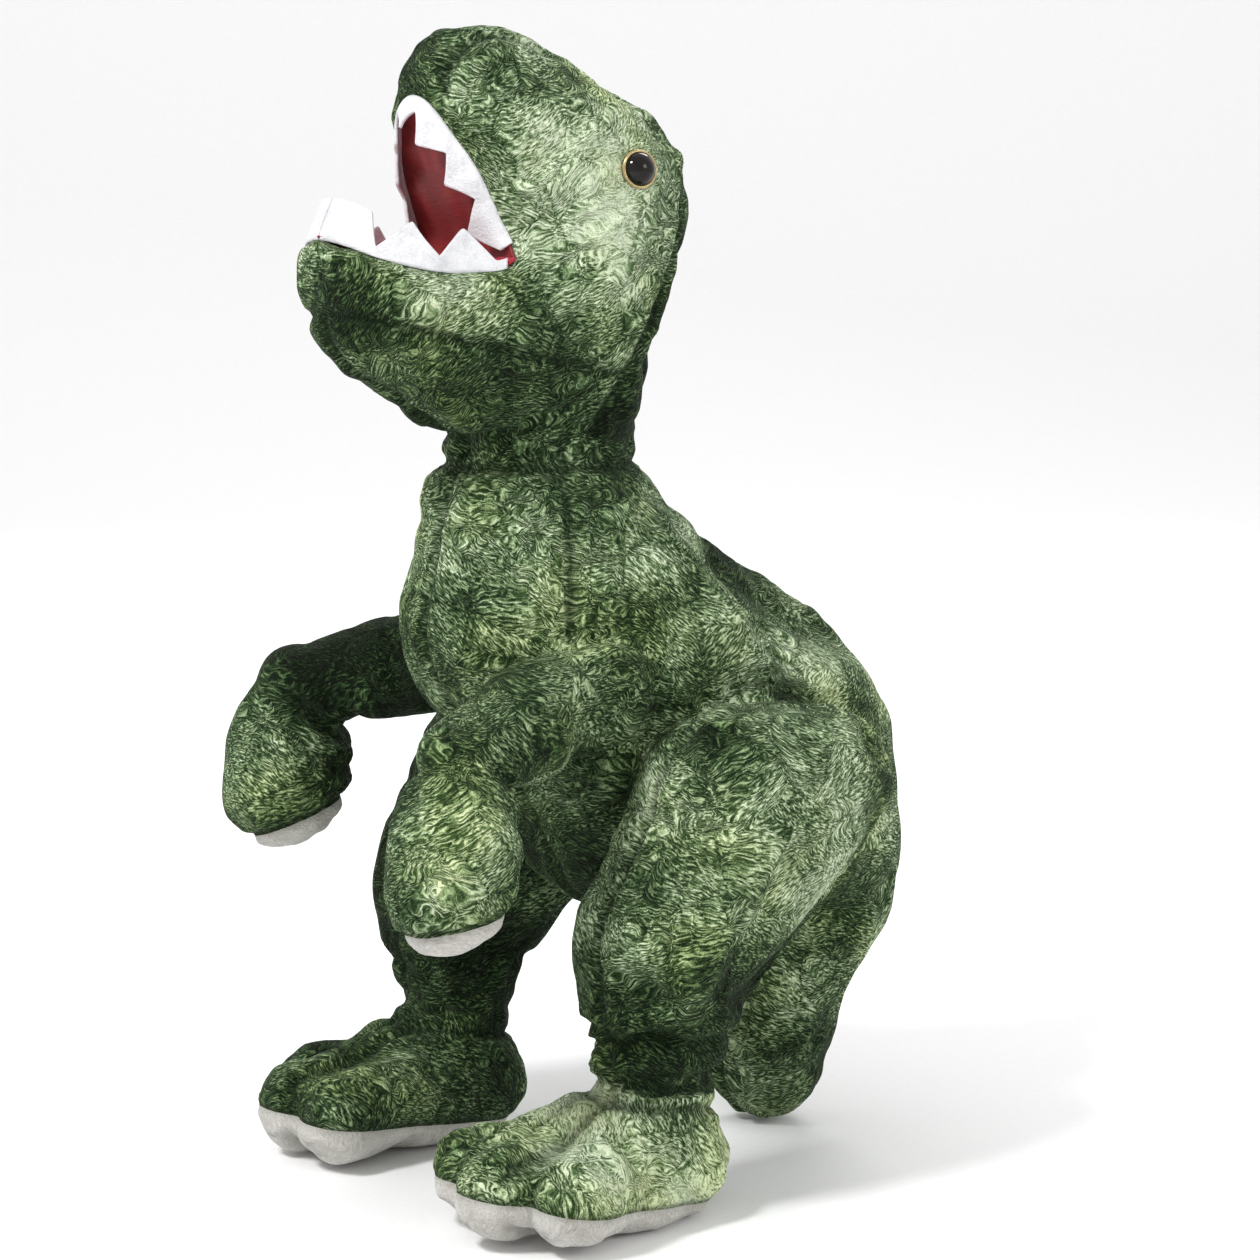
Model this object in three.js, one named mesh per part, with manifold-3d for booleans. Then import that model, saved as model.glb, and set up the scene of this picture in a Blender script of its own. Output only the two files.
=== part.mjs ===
// A standing stuffed dinosaur with an open mouth, in millimetres.
// +Z is up, the dinosaur faces -Y and its left side is +X. Each fabric panel, stuffing mass,
// felt strip and plastic fitting is a closed solid of its own.
import * as THREE from 'three'
import { mergeVertices } from 'three/addons/utils/BufferGeometryUtils.js'
import Module from 'manifold-3d'

const wasm = await Module()
wasm.setup()

// ---------------------------------------------------------------- driving dimensions
const SKIN = 2.0             // pile fabric with its backing
const GAP = 0.3              // clear space between pieces that touch
const REACH = 600            // larger than the toy, for the blocks that cut it
const NECK_PIVOT = [0, -2, 283]
const NECK_BALL = 33         // rounded lower end of the head
const NECK_TOP = 270         // height where the body panels end
const SHOULDER = { left: [42, -12, 189], right: [-42, -12, 193] }
const ELBOW = { left: [62, -80, 175], right: [-80, -58, 181] }
const HAND = { left: [66, -89, 134], right: [-85, -62, 143] }
const HIP = [62, 58, 138]    // left hip, the right one is its mirror image
const ANKLE = [65, 0, 42]
const FOOT_TURN = { left: 2, right: 11 }   // degrees the toes point outwards
const TAIL_PIVOT = [0, 112, 102]
const HIP_FACE = 61.5        // half the body's width between the thighs
const EYE = { at: [40, 12, 377], turn: 8, radius: 6.7 }

// Sections down a body: [x, y, z, half width, half depth], each a level ellipse.
const TORSO = [
  [0, -3, 279, 33, 33], [0, -3, 259, 41, 44], [0, 12, 233, 51, 65], [0, 29, 210, 58, 85],
  [0, 48, 184, HIP_FACE, 93], [0, 70, 150, HIP_FACE, 87], [0, 80, 118, 59, 78],
]
const TAIL = [
  [0, 112, 102, 45, 46], [0, 111, 81, 42, 43], [0, 110, 60, 36, 37], [0, 109, 41, 30, 31],
  [0, 108, 26, 25, 26],
]
const LEG = [
  [70, 48, 150, 33, 54], [71, 42, 135, 35, 57], [70, 24, 111, 35, 54], [67, 8, 85, 29, 38],
  [66, 2, 72, 25, 30], [65, 0, 54, 21, 22], [65, 0, 42, 20, 20.5],
]
const CRANIUM = [
  [0, -2, 283, NECK_BALL, NECK_BALL], [0, 1, 300, 38, 39], [0, 5, 325, 43, 44],
  [0, 6, 352, 44, 47], [0, 4, 372, 41, 46],
]
const UPPER_JAW = [[0, -4, 356, 42, 47], [0, -17, 381, 37, 43], [0, -31, 400, 26, 32]]
const LOWER_JAW = [[0, 0, 325, 43, 41], [0, -36, 326, 40, 42], [0, -66, 336, 31, 37]]

// ---------------------------------------------------------------- solids
const vec = (p) => new THREE.Vector3(p[0], p[1], p[2])
const mirrored = (stations, side) => stations.map(([x, ...rest]) => [x * side, ...rest])
const grown = (stations, by) => stations.map(([x, y, z, a, b]) => [x, y, z, a + by, b + by])

// Turns a closed three.js geometry into a solid.
function solid(geometry, flip = false) {
  const bare = geometry.index ? geometry.toNonIndexed() : geometry.clone()
  bare.deleteAttribute('normal')
  bare.deleteAttribute('uv')
  const welded = mergeVertices(bare, 1e-4)
  const index = Uint32Array.from(welded.index.array)
  const faces = []
  for (let i = 0; i < index.length; i += 3) {
    const [a, b, c] = flip ? [index[i], index[i + 2], index[i + 1]] : [index[i], index[i + 1], index[i + 2]]
    if (a !== b && b !== c && a !== c) faces.push(a, b, c)
  }
  return new wasm.Manifold(new wasm.Mesh({
    numProp: 3,
    vertProperties: Float32Array.from(welded.attributes.position.array),
    triVerts: Uint32Array.from(faces),
  }))
}

// Bends a unit sphere along a row of sections. Its poles become domes at both ends, `domes` deep.
// Level sections stay horizontal; the others stand square to the line through their centres.
function limb(stations, { level = false, domes = [null, null], sides = 16, rings = 4, capRings = 3 } = {}) {
  const total = capRings * 2 + rings
  const sphere = new THREE.SphereGeometry(1, sides, total)
  const spine = new THREE.CatmullRomCurve3(stations.map(vec), false, 'catmullrom', 0.5)
  const girth = new THREE.CatmullRomCurve3(stations.map((s) => new THREE.Vector3(s[3], s[4], 0)))
  const spot = sphere.attributes.position
  for (let i = 0; i < spot.count; i += 1) {
    const ring = Math.round((Math.acos(THREE.MathUtils.clamp(spot.getY(i), -1, 1)) / Math.PI) * total)
    const turn = Math.atan2(spot.getZ(i), spot.getX(i))
    const along = THREE.MathUtils.clamp((ring - capRings) / rings, 0, 1)
    const centre = spine.getPoint(along)
    const size = girth.getPoint(along)
    const ahead = level ? new THREE.Vector3(0, 0, -1) : spine.getTangent(along)
    const across = new THREE.Vector3(1, 0, 0).addScaledVector(ahead, -ahead.x).normalize()
    const deep = new THREE.Vector3().crossVectors(ahead, across)
    let spread = 1
    let shift = 0
    if (ring < capRings) {
      const angle = (ring / capRings) * Math.PI / 2
      spread = Math.sin(angle)
      shift = -Math.cos(angle) * (domes[0] ?? size.y)
    } else if (ring > capRings + rings) {
      const angle = ((total - ring) / capRings) * Math.PI / 2
      spread = Math.sin(angle)
      shift = Math.cos(angle) * (domes[1] ?? size.y)
    }
    centre.addScaledVector(ahead, shift)
    centre.addScaledVector(across, Math.cos(turn) * size.x * spread)
    centre.addScaledVector(deep, Math.sin(turn) * size.y * spread)
    spot.setXYZ(i, centre.x, centre.y, centre.z)
  }
  const shape = solid(sphere)
  return shape.volume() < 0 ? solid(sphere, true) : shape
}

const ball = (radius, at, sides = 16) => {
  const sphere = new THREE.SphereGeometry(radius, sides, sides / 2)
  return solid(sphere.rotateX(Math.PI / 2)).translate(at)
}

// A turned piece about its own Y axis, from [radius, height] points that end on the axis or close up.
function lathe(profile, sides = 10) {
  const round = new THREE.LatheGeometry(profile.map(([r, h]) => new THREE.Vector2(r, h)), sides)
  const shape = solid(round)
  return shape.volume() < 0 ? solid(round, true) : shape
}

// A block between two corners.
function block(low, high) {
  const size = high.map((v, i) => v - low[i])
  const middle = high.map((v, i) => (v + low[i]) / 2)
  return solid(new THREE.BoxGeometry(...size)).translate(middle)
}

// A prism whose outline lies in the YZ plane, from x0 to x1.
function prism(outline, x0, x1) {
  const shape = new THREE.Shape(outline.map(([y, z]) => new THREE.Vector2(y, z)))
  const bar = new THREE.ExtrudeGeometry(shape, { depth: x1 - x0, bevelEnabled: false })
  bar.applyMatrix4(new THREE.Matrix4().set(0, 0, 1, x0, 1, 0, 0, 0, 0, 1, 0, 0, 0, 0, 0, 1))
  return solid(bar)
}

// The half of space on one side of a sloping plane through `point`, as a large block.
function beyond(point, normal) {
  const box = new THREE.BoxGeometry(REACH * 2, REACH * 2, REACH).translate(0, 0, REACH / 2)
  const turn = new THREE.Quaternion().setFromUnitVectors(new THREE.Vector3(0, 0, 1), vec(normal).normalize())
  return solid(box.applyQuaternion(turn)).translate(point)
}

const leftOf = (x) => block([x, -REACH, -REACH], [REACH, REACH, REACH])
const rightOf = (x) => block([-REACH, -REACH, -REACH], [x, REACH, REACH])
const above = (z) => block([-REACH, -REACH, z], [REACH, REACH, REACH])
const below = (z) => block([-REACH, -REACH, -REACH], [REACH, REACH, z])

function turned(shape, pivot, axis, degrees) {
  const matrix = new THREE.Matrix4().makeTranslation(...pivot)
  matrix.multiply(new THREE.Matrix4().makeRotationAxis(vec(axis).normalize(), degrees * Math.PI / 180))
  matrix.multiply(new THREE.Matrix4().makeTranslation(-pivot[0], -pivot[1], -pivot[2]))
  return shape.transform(matrix.elements)
}

// The room a moving piece needs: the piece joined with itself at each angle of its swing.
function swept(shape, pivot, axis, angles) {
  return angles.map((a) => turned(shape, pivot, axis, a)).reduce((sum, s) => sum.add(s))
}

// ---------------------------------------------------------------- the toy as a scene
const toy = new THREE.Group()
const fabric = (color, roughness = 0.95) => ({ color, roughness, metalness: 0 })
const GREEN = fabric(0x4f7048)
const DARK_GREEN = fabric(0x35502f)
const PALE = fabric(0xbdb9b2)
const FILL = fabric(0xf2f1ec)
const DARK_RED = fabric(0x7a1418, 0.6)
const RED = fabric(0xa8202c)
const FELT = fabric(0xf4f4f6)
const BLACK = { color: 0x0b0a09, roughness: 0.08, metalness: 0 }
const GOLD = { color: 0xb79a45, roughness: 0.35, metalness: 0 }
const WASHER = { color: 0xe6e6e2, roughness: 0.5, metalness: 0 }

// Cutting can leave crumbs beside a piece; only its largest body is kept.
function largest(shape) {
  return shape.decompose().reduce((best, s) => (s.volume() > best.volume() ? s : best))
}

function add(name, shape, finish) {
  const body = largest(shape).getMesh()
  const geometry = new THREE.BufferGeometry()
  geometry.setAttribute('position', new THREE.BufferAttribute(new Float32Array(body.vertProperties), 3))
  geometry.setIndex(new THREE.BufferAttribute(new Uint32Array(body.triVerts), 1))
  const mesh = new THREE.Mesh(geometry, new THREE.MeshStandardMaterial(finish))
  mesh.name = name
  toy.add(mesh)
}

// Makes the outer form, the hollow inside its skin and the stuffing from one list of sections.
function layers(stations, options = {}) {
  const sides = Math.ceil((options.sides ?? 16) * (2 / 3))
  const inset = (by) => {
    const domes = (options.domes ?? [null, null]).map((d) => (d === null ? null : d - by))
    return limb(grown(stations, -by), { ...options, domes, sides: by > 0 ? sides : options.sides })
  }
  return { outer: inset(0), hollow: inset(SKIN), fill: inset(SKIN + GAP) }
}

// ---------------------------------------------------------------- arms
const ARM_AXIS = [1, 0, 0]
const SHOULDER_SWING = [-30, -7, 16]
const ELBOW_SWING = [-22, -4, 14, 32]
const COARSE = { sides: 8, rings: 1, capRings: 2 }
const armSockets = []

function makeArm(name) {
  const side = name === 'left' ? 1 : -1
  const [shoulder, elbow, hand] = [SHOULDER[name], ELBOW[name], HAND[name]]
  const small = { sides: 12, rings: 3, capRings: 2 }
  const between = shoulder.map((v, i) => (v + elbow[i]) / 2)
  const upperStations = [[...shoulder, 20, 22], [...between, 18, 19], [...elbow, 17, 17]]
  const wrist = elbow.map((v, i) => v + (hand[i] - v) * 0.5)
  const pawStations = [[...elbow, 16, 16], [...wrist, 18.5, 21], [...hand, 20, 26]]
  const upper = layers(upperStations, small)
  const paw = layers(pawStations, small)
  const roomForPaw = swept(limb(grown(pawStations, 1.8), COARSE), elbow, ARM_AXIS, ELBOW_SWING)
  add(`upper_arm_${name}`, upper.outer.subtract(upper.hollow).subtract(roomForPaw)
    .subtract(ball(9, shoulder.map((v, i) => v - (elbow[i] - v) * 0.2), 8)), GREEN)
  add(`upper_arm_stuffing_${name}`, upper.fill.subtract(roomForPaw), FILL)
  const padCut = beyond([hand[0], hand[1] + 14, hand[2] - 16], [0, 0.5, -0.87])
  const padJoint = beyond([hand[0], hand[1] + 14 - 0.15, hand[2] - 16 + 0.26], [0, 0.5, -0.87])
  const pawSkin = paw.outer.subtract(paw.hollow)
  add(`paw_${name}`, pawSkin.subtract(padJoint), GREEN)
  add(`paw_pad_${name}`, pawSkin.intersect(padCut), PALE)
  add(`paw_stuffing_${name}`, paw.fill, FILL)
  armSockets.push(swept(limb(grown(upperStations, 2.6), COARSE), shoulder, ARM_AXIS, SHOULDER_SWING))
  return side
}

makeArm('left')
makeArm('right')

// ---------------------------------------------------------------- legs and feet
const SHIN_TOP = 96          // below this the leg is whole, above it stops at the hip face
const HIP_RADIUS = 70        // round the hip the leg stays outside the body's width

function makeLeg(name) {
  const side = name === 'left' ? 1 : -1
  const leg = layers(mirrored(LEG, side), { level: true, domes: [34, 20], rings: 6, sides: 14 })
  const hipFace = side * (HIP_FACE + 1)
  const inward = side > 0 ? rightOf(hipFace) : leftOf(hipFace)
  const hub = new THREE.CylinderGeometry(HIP_RADIUS, HIP_RADIUS, REACH, 24).rotateZ(Math.PI / 2)
  const hipRoom = solid(hub).translate([side * HIP[0], HIP[1], HIP[2]])
  const clear = inward.intersect(above(SHIN_TOP).add(hipRoom))
  const skin = leg.outer.subtract(leg.hollow).subtract(clear)
  const seamAt = LEG[1][0] * side
  const seamGap = GAP / 2
  const outside = side > 0 ? leftOf(seamAt + seamGap) : rightOf(seamAt - seamGap)
  const inside = side > 0 ? rightOf(seamAt - seamGap) : leftOf(seamAt + seamGap)
  add(`leg_outer_${name}`, skin.intersect(outside), GREEN)
  add(`leg_inner_${name}`, skin.intersect(inside), GREEN)
  add(`leg_stuffing_${name}`, leg.fill.subtract(clear), FILL)
}

function footForm(side, inset) {
  const x = (v) => v * side
  const options = { sides: inset > 0 ? 8 : 12, rings: 1, capRings: 2 }
  const sole = [[x(66), 5, 20, 26, 23], [x(63), -22, 18, 31, 21], [x(60), -40, 15, 30, 16]]
  const collar = [[x(65), 1, 24, 28, 29], [x(65), 0, 44, 27, 27]]
  const toes = [
    [[x(40), -30, 15, 13, 15], [x(37), -57, 15, 11, 13]],
    [[x(60), -30, 15, 14, 16], [x(61), -58, 15, 13, 14]],
    [[x(78), -26, 15, 14, 16], [x(84), -49, 14, 13, 14]],
  ]
  const body = [sole, collar].map((s) => limb(grown(s, -inset), options))
  const ends = toes.map((s) => limb(grown(s, -inset), { sides: 8, rings: 1, capRings: 2 }))
  const parts = [...body, ...ends]
  const whole = parts.reduce((sum, s) => sum.add(s))
  return whole.intersect(above(inset)).intersect(below(45 - inset))
}

function makeFoot(name) {
  const side = name === 'left' ? 1 : -1
  const ankle = [ANKLE[0] * side, ANKLE[1], ANKLE[2]]
  const socket = ball(24, ankle)
  const form = (inset) => turned(footForm(side, inset), ankle, [0, 0, 1], FOOT_TURN[name] * side)
  const skin = form(0).subtract(form(SKIN)).subtract(socket)
  const seam = [0, -20, 9]
  const slope = [0, 0.12, 1]
  add(`foot_upper_${name}`, skin.intersect(beyond(seam, slope)), GREEN)
  add(`sole_${name}`, skin.subtract(beyond([0, -20, 9 - GAP], slope)), PALE)
  add(`foot_stuffing_${name}`, form(SKIN + GAP).subtract(socket), FILL)
}

for (const name of ['left', 'right']) {
  makeLeg(name)
  makeFoot(name)
}

// ---------------------------------------------------------------- tail
const tail = layers(TAIL, { level: true, domes: [45, 26], rings: 3, sides: 16 })
const tailSkin = tail.outer.subtract(tail.hollow)
add('tail_panel_left', tailSkin.intersect(leftOf(GAP / 2)), GREEN)
add('tail_panel_right', tailSkin.intersect(rightOf(-GAP / 2)), GREEN)
add('tail_stuffing', tail.fill, FILL)

// ---------------------------------------------------------------- body
const torso = layers(TORSO, { level: true, domes: [30, 26], rings: 6, sides: 18, capRings: 2 })
const neckBowl = ball(NECK_BALL + 1.5, NECK_PIVOT, 16)
const tailRoom = ball(48, TAIL_PIVOT, 16).add(block([-80, 62, 0], [80, 220, TAIL_PIVOT[2] + 2]))
const bodyRoom = armSockets.reduce((sum, s) => sum.add(s), neckBowl.add(tailRoom)).add(above(NECK_TOP))
const torsoSkin = torso.outer.subtract(torso.hollow).subtract(bodyRoom)
// The seam between chest and flank runs from the side of the neck to the front of the hip.
const chestSeam = [0, -22, 200]
const chestSlope = [0, -1, 0.12]
const chest = torsoSkin.intersect(beyond(chestSeam, chestSlope))
const flank = torsoSkin.subtract(beyond([0, chestSeam[1] + GAP, chestSeam[2]], chestSlope))
add('chest_panel_left', chest.intersect(leftOf(GAP / 2)), GREEN)
add('chest_panel_right', chest.intersect(rightOf(-GAP / 2)), GREEN)
add('side_panel_left', flank.intersect(leftOf(GAP / 2)), GREEN)
add('side_panel_right', flank.intersect(rightOf(-GAP / 2)), GREEN)
add('torso_stuffing', torso.fill.subtract(bodyRoom).subtract(above(NECK_TOP - SKIN)), FILL)

// ---------------------------------------------------------------- neck seam
// The turned-in allowance where head and body are sewn together, a flat ring round the neck.
const bandProfile = [[33.4, 0], [35.8, 0], [35.8, 4.4], [33.4, 4.4], [33.4, 0]]
const band = lathe(bandProfile, 20).rotate([90, 0, 0])
add('neck_seam_band', band.translate([0, NECK_PIVOT[1], NECK_TOP + GAP]), DARK_GREEN)

// ---------------------------------------------------------------- head
const headParts = [
  [CRANIUM, { domes: [NECK_BALL, 36], sides: 16, rings: 4, capRings: 2 }],
  [UPPER_JAW, { sides: 14, rings: 2, capRings: 2 }],
  [LOWER_JAW, { sides: 14, rings: 2, capRings: 2 }],
]
const headForm = (inset) => headParts.map(([stations, options]) => {
  const domes = (options.domes ?? [null, null]).map((d) => (d === null ? null : d - inset))
  const sides = inset > 0 ? options.sides - 4 : options.sides
  return limb(grown(stations, -inset), { ...options, domes, sides })
}).reduce((sum, s) => sum.add(s))

// The open mouth is a wedge between the roof, which leans forward, and the level floor.
const CORNER = [-34, 345]
const ROOF_TOP = [-71, 436]
const FLOOR_FRONT = [-130, 357]
const MOUTH_FRONT = [-130, 436]
const LINING = 1.6
function mouth(deeper) {
  const roof = new THREE.Vector2(ROOF_TOP[0] - CORNER[0], ROOF_TOP[1] - CORNER[1]).normalize()
  const floor = new THREE.Vector2(FLOOR_FRONT[0] - CORNER[0], FLOOR_FRONT[1] - CORNER[1]).normalize()
  const back = [roof.y * deeper, -roof.x * deeper]
  const down = [floor.y * deeper, floor.x * deeper]
  const outline = [
    [CORNER[0] + back[0] * 1.5, CORNER[1] - deeper * 1.2],
    [FLOOR_FRONT[0], FLOOR_FRONT[1] + down[1]],
    MOUTH_FRONT,
    [ROOF_TOP[0] + back[0], ROOF_TOP[1] + back[1]],
  ]
  return prism(outline, -60, 60)
}
const headOuter = headForm(0)
const headHollow = headForm(SKIN)
const headFill = headForm(SKIN + GAP)
const open = mouth(0)

// Safety eyes: a domed cap with a thin ring under its edge, a shank through the fabric, a washer inside.
function eyePiece(side, profile) {
  const out = new THREE.Vector3(Math.cos(EYE.turn * Math.PI / 180) * side, -Math.sin(EYE.turn * Math.PI / 180), 0.12)
  const turn = new THREE.Quaternion().setFromUnitVectors(new THREE.Vector3(0, 1, 0), out.normalize())
  const matrix = new THREE.Matrix4().compose(
    new THREE.Vector3(EYE.at[0] * side, EYE.at[1], EYE.at[2]), turn, new THREE.Vector3(1, 1, 1))
  return lathe(profile).transform(matrix.elements)
}
const R = EYE.radius
const EYE_PROFILE = [
  [0, -14], [1.8, -14], [1.8, 0.9], [R - 0.9, 0.9], [R - 0.9, 1.4], [R - 1.4, 2.8], [R - 3, 4.2],
  [R - 5, 4.9], [0, 5.1],
]
const RIM_PROFILE = [[2.2, 0.3], [R, 0.3], [R, 0.5], [R - 0.3, 1.1], [R - 0.6, 1.1], [R - 0.6, 0.6],
  [2.2, 0.6], [2.2, 0.3]]
const WASHER_PROFILE = [[2.1, -8.6], [7.5, -8.6], [7.5, -7.2], [2.1, -7.2], [2.1, -8.6]]
const SHANK_ROOM = [[0, -15], [2.4, -15], [2.4, 0.2], [0, 0.2]]
const WASHER_ROOM = [[0, -15], [8.1, -15], [8.1, -6.6], [0, -6.6]]
const EYE_SEAT = [[0, 0], [R + 0.8, 0], [R + 0.8, 12], [0, 12]]

let eyeRoom = null
let washerRoom = null
for (const [name, side] of [['left', 1], ['right', -1]]) {
  add(`eye_${name}`, eyePiece(side, EYE_PROFILE), BLACK)
  add(`eye_rim_${name}`, eyePiece(side, RIM_PROFILE), GOLD)
  add(`eye_washer_${name}`, eyePiece(side, WASHER_PROFILE), WASHER)
  const shank = eyePiece(side, SHANK_ROOM).add(eyePiece(side, EYE_SEAT))
  const washer = eyePiece(side, WASHER_ROOM)
  eyeRoom = eyeRoom ? eyeRoom.add(shank) : shank
  washerRoom = washerRoom ? washerRoom.add(washer) : washer
}

const headSkin = headOuter.subtract(headHollow).subtract(open).subtract(eyeRoom).subtract(washerRoom)
const GUSSET = 15            // half the width of the panel along snout and crown
const middle = block([-GUSSET, -REACH, -REACH], [GUSSET, REACH, REACH])
const middleRoom = block([-GUSSET - GAP, -REACH, -REACH], [GUSSET + GAP, REACH, REACH])
// The cheek panels end on a line from the chin to the back of the jaw.
const jawSeam = [0, -60, 318]
const jawSlope = [0, -0.25, -1]
const napeSeam = [0, 14, 320]
const napeSlope = [0, 1, -0.55]
const nudge = (point, normal, by) => {
  const unit = vec(normal).normalize().multiplyScalar(by)
  return point.map((v, i) => v + unit.getComponent(i))
}
const underJaw = beyond(jawSeam, jawSlope)
const underJawRoom = beyond(nudge(jawSeam, jawSlope, -GAP), jawSlope)
const napeSide = beyond(napeSeam, napeSlope)
const napeRoom = beyond(nudge(napeSeam, napeSlope, -GAP), napeSlope)
add('chin_panel', headSkin.intersect(underJaw).subtract(napeRoom), GREEN)
add('nape_panel', headSkin.intersect(napeSide), DARK_GREEN)
const upperHead = headSkin.subtract(underJawRoom).subtract(napeRoom)
const crownSide = beyond([0, CORNER[0], CORNER[1]], [0, 0.93, 0.38])
add('head_top_gusset', upperHead.intersect(middle).intersect(crownSide), GREEN)
const gussetRoom = middleRoom.intersect(crownSide)
const cheeks = upperHead.subtract(gussetRoom)
add('head_side_left', cheeks.intersect(leftOf(GAP / 2)), GREEN)
add('head_side_right', cheeks.intersect(rightOf(-GAP / 2)), GREEN)

// The roof of the mouth and the tongue panel line the wedge.
const lining = headFill.intersect(mouth(LINING)).subtract(open)
add('palate_lining', lining.intersect(beyond([0, CORNER[0], CORNER[1] + 1], [0, 0.3, 0.95])), DARK_RED)
add('mouth_floor', lining.subtract(beyond([0, CORNER[0], CORNER[1] + 1 - GAP], [0, 0.3, 0.95])), RED)
add('head_stuffing', headFill.subtract(mouth(LINING + GAP)).subtract(eyeRoom).subtract(washerRoom), FILL)

// Felt teeth: a strip that follows the lip, with a straight root and a zigzag edge.
function teeth(points, rise, { root, height, count, thick = 1.2, flat = 0 }) {
  const lip = new THREE.CatmullRomCurve3(points.map(vec), false, 'catmullrom', 0.5)
  const steps = count * 2
  const strip = new THREE.BoxGeometry(1, 1, 1, steps, 1, 1)
  const spot = strip.attributes.position
  const up = vec(rise).normalize()
  for (let i = 0; i < spot.count; i += 1) {
    const t = spot.getX(i) + 0.5
    const step = Math.round(t * steps)
    const inFlat = flat > 0 && Math.abs(t - 0.5) < flat
    const peak = inFlat ? 1 : step % 2
    const centre = lip.getPointAt(THREE.MathUtils.clamp(t, 0, 1))
    const aside = new THREE.Vector3().crossVectors(up, lip.getTangentAt(THREE.MathUtils.clamp(t, 0, 1))).normalize()
    const level = spot.getY(i) > 0 ? root + height * peak : 0
    centre.addScaledVector(up, level).addScaledVector(aside, spot.getZ(i) * thick)
    spot.setXYZ(i, centre.x, centre.y, centre.z)
  }
  const shape = solid(strip)
  return shape.volume() < 0 ? solid(strip, true) : shape
}

const UPPER_LIP = [
  [-33, -40, 358], [-29, -45, 370], [-21, -51, 386], [0, -56, 399], [21, -51, 386], [29, -45, 370],
  [33, -40, 358],
]
const LOWER_LIP = [
  [-33, -52, 348], [-30, -66, 349], [-21, -81, 351], [0, -89, 352], [21, -81, 351], [30, -66, 349],
  [33, -52, 348],
]
const ROOF_NORMAL = [0, -0.928, -0.371]
const liftOff = (points, normal, by) => points.map((p) => nudge(p, normal, by))
add('upper_teeth', teeth(liftOff(UPPER_LIP, ROOF_NORMAL, 0.6), ROOF_NORMAL,
  { root: 3, height: 10, count: 8 }), FELT)
add('lower_teeth', teeth(liftOff(LOWER_LIP, [0, 0, 1], 0.9), [0, 0, 1],
  { root: 4, height: 8, count: 9, flat: 0.17 }), FELT)

// ---------------------------------------------------------------- origin under the middle of the toy
toy.updateMatrixWorld(true)
const bounds = new THREE.Box3().setFromObject(toy, true)
const middlePoint = bounds.getCenter(new THREE.Vector3())
toy.position.set(-middlePoint.x, -middlePoint.y, -bounds.min.z)
toy.updateMatrixWorld(true)

export default toy
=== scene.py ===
"""The looks of a standing stuffed dinosaur with an open mouth: one sewn plush skin cut at the toy's joints,
felt teeth, satin and plush mouth lining, safety eyes, a soft floor and studio light."""

import math
import time

import bmesh
import bpy
import numpy as np
from mathutils import Euler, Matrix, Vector


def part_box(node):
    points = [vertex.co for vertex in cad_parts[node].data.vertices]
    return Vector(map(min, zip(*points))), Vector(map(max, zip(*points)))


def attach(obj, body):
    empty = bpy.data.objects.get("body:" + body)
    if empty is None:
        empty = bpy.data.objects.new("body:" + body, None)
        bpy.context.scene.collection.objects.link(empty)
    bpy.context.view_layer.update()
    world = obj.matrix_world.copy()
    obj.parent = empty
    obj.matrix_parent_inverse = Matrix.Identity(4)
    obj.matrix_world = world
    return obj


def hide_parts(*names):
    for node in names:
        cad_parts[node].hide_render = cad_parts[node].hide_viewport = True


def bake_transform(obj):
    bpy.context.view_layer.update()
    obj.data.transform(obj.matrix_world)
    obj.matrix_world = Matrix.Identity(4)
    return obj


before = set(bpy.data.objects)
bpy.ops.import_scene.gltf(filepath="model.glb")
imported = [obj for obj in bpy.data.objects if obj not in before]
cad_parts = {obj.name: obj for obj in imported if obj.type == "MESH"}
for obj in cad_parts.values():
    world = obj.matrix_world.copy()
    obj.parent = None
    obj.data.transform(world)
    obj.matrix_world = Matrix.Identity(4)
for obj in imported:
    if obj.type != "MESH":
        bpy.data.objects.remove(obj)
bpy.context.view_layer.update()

START = time.time()


def log(text):
    print(f"[{time.time() - START:6.1f} s] {text}", flush=True)


# ---------------------------------------------------------------- the toy's own frame
# Forms are written in millimetres in the pattern's frame, whose Y runs from the neck's axis. The neck band
# gives the distance between that frame and the row frame.
band_low, band_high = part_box("neck_seam_band")
SHIFT_Y = (band_low.y + band_high.y) * 500 + 2.0


def row(points):
    """Pattern millimetres to row frame metres."""
    p = np.asarray(points, float) + np.array([0.0, SHIFT_Y, 0.0])
    return p / 1000


def pattern(points):
    """Row frame metres to pattern millimetres."""
    return np.asarray(points, float) * 1000 - np.array([0.0, SHIFT_Y, 0.0])


# ---------------------------------------------------------------- forms as distance fields
def smooth_min(a, b, k):
    h = np.clip(0.5 + 0.5 * (b - a) / k, 0, 1)
    return b * (1 - h) + a * h - k * h * (1 - h)


def smooth_max(a, b, k):
    return -smooth_min(-a, -b, k)


def hermite(t, knots, values):
    """Smooth interpolation of values at rising knots."""
    knots = np.asarray(knots, float)
    values = np.asarray(values, float)
    slope = np.gradient(values, knots, axis=0)
    i = np.clip(np.searchsorted(knots, t) - 1, 0, len(knots) - 2)
    h = knots[i + 1] - knots[i]
    s = np.clip((t - knots[i]) / h, 0, 1)
    h, s = h[..., None], s[..., None]
    a, b, ma, mb = values[i], values[i + 1], slope[i], slope[i + 1]
    return (
        (2 * s**3 - 3 * s**2 + 1) * a
        + (s**3 - 2 * s**2 + s) * h * ma
        + (-2 * s**3 + 3 * s**2) * b
        + (s**3 - s**2) * h * mb
    )


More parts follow.
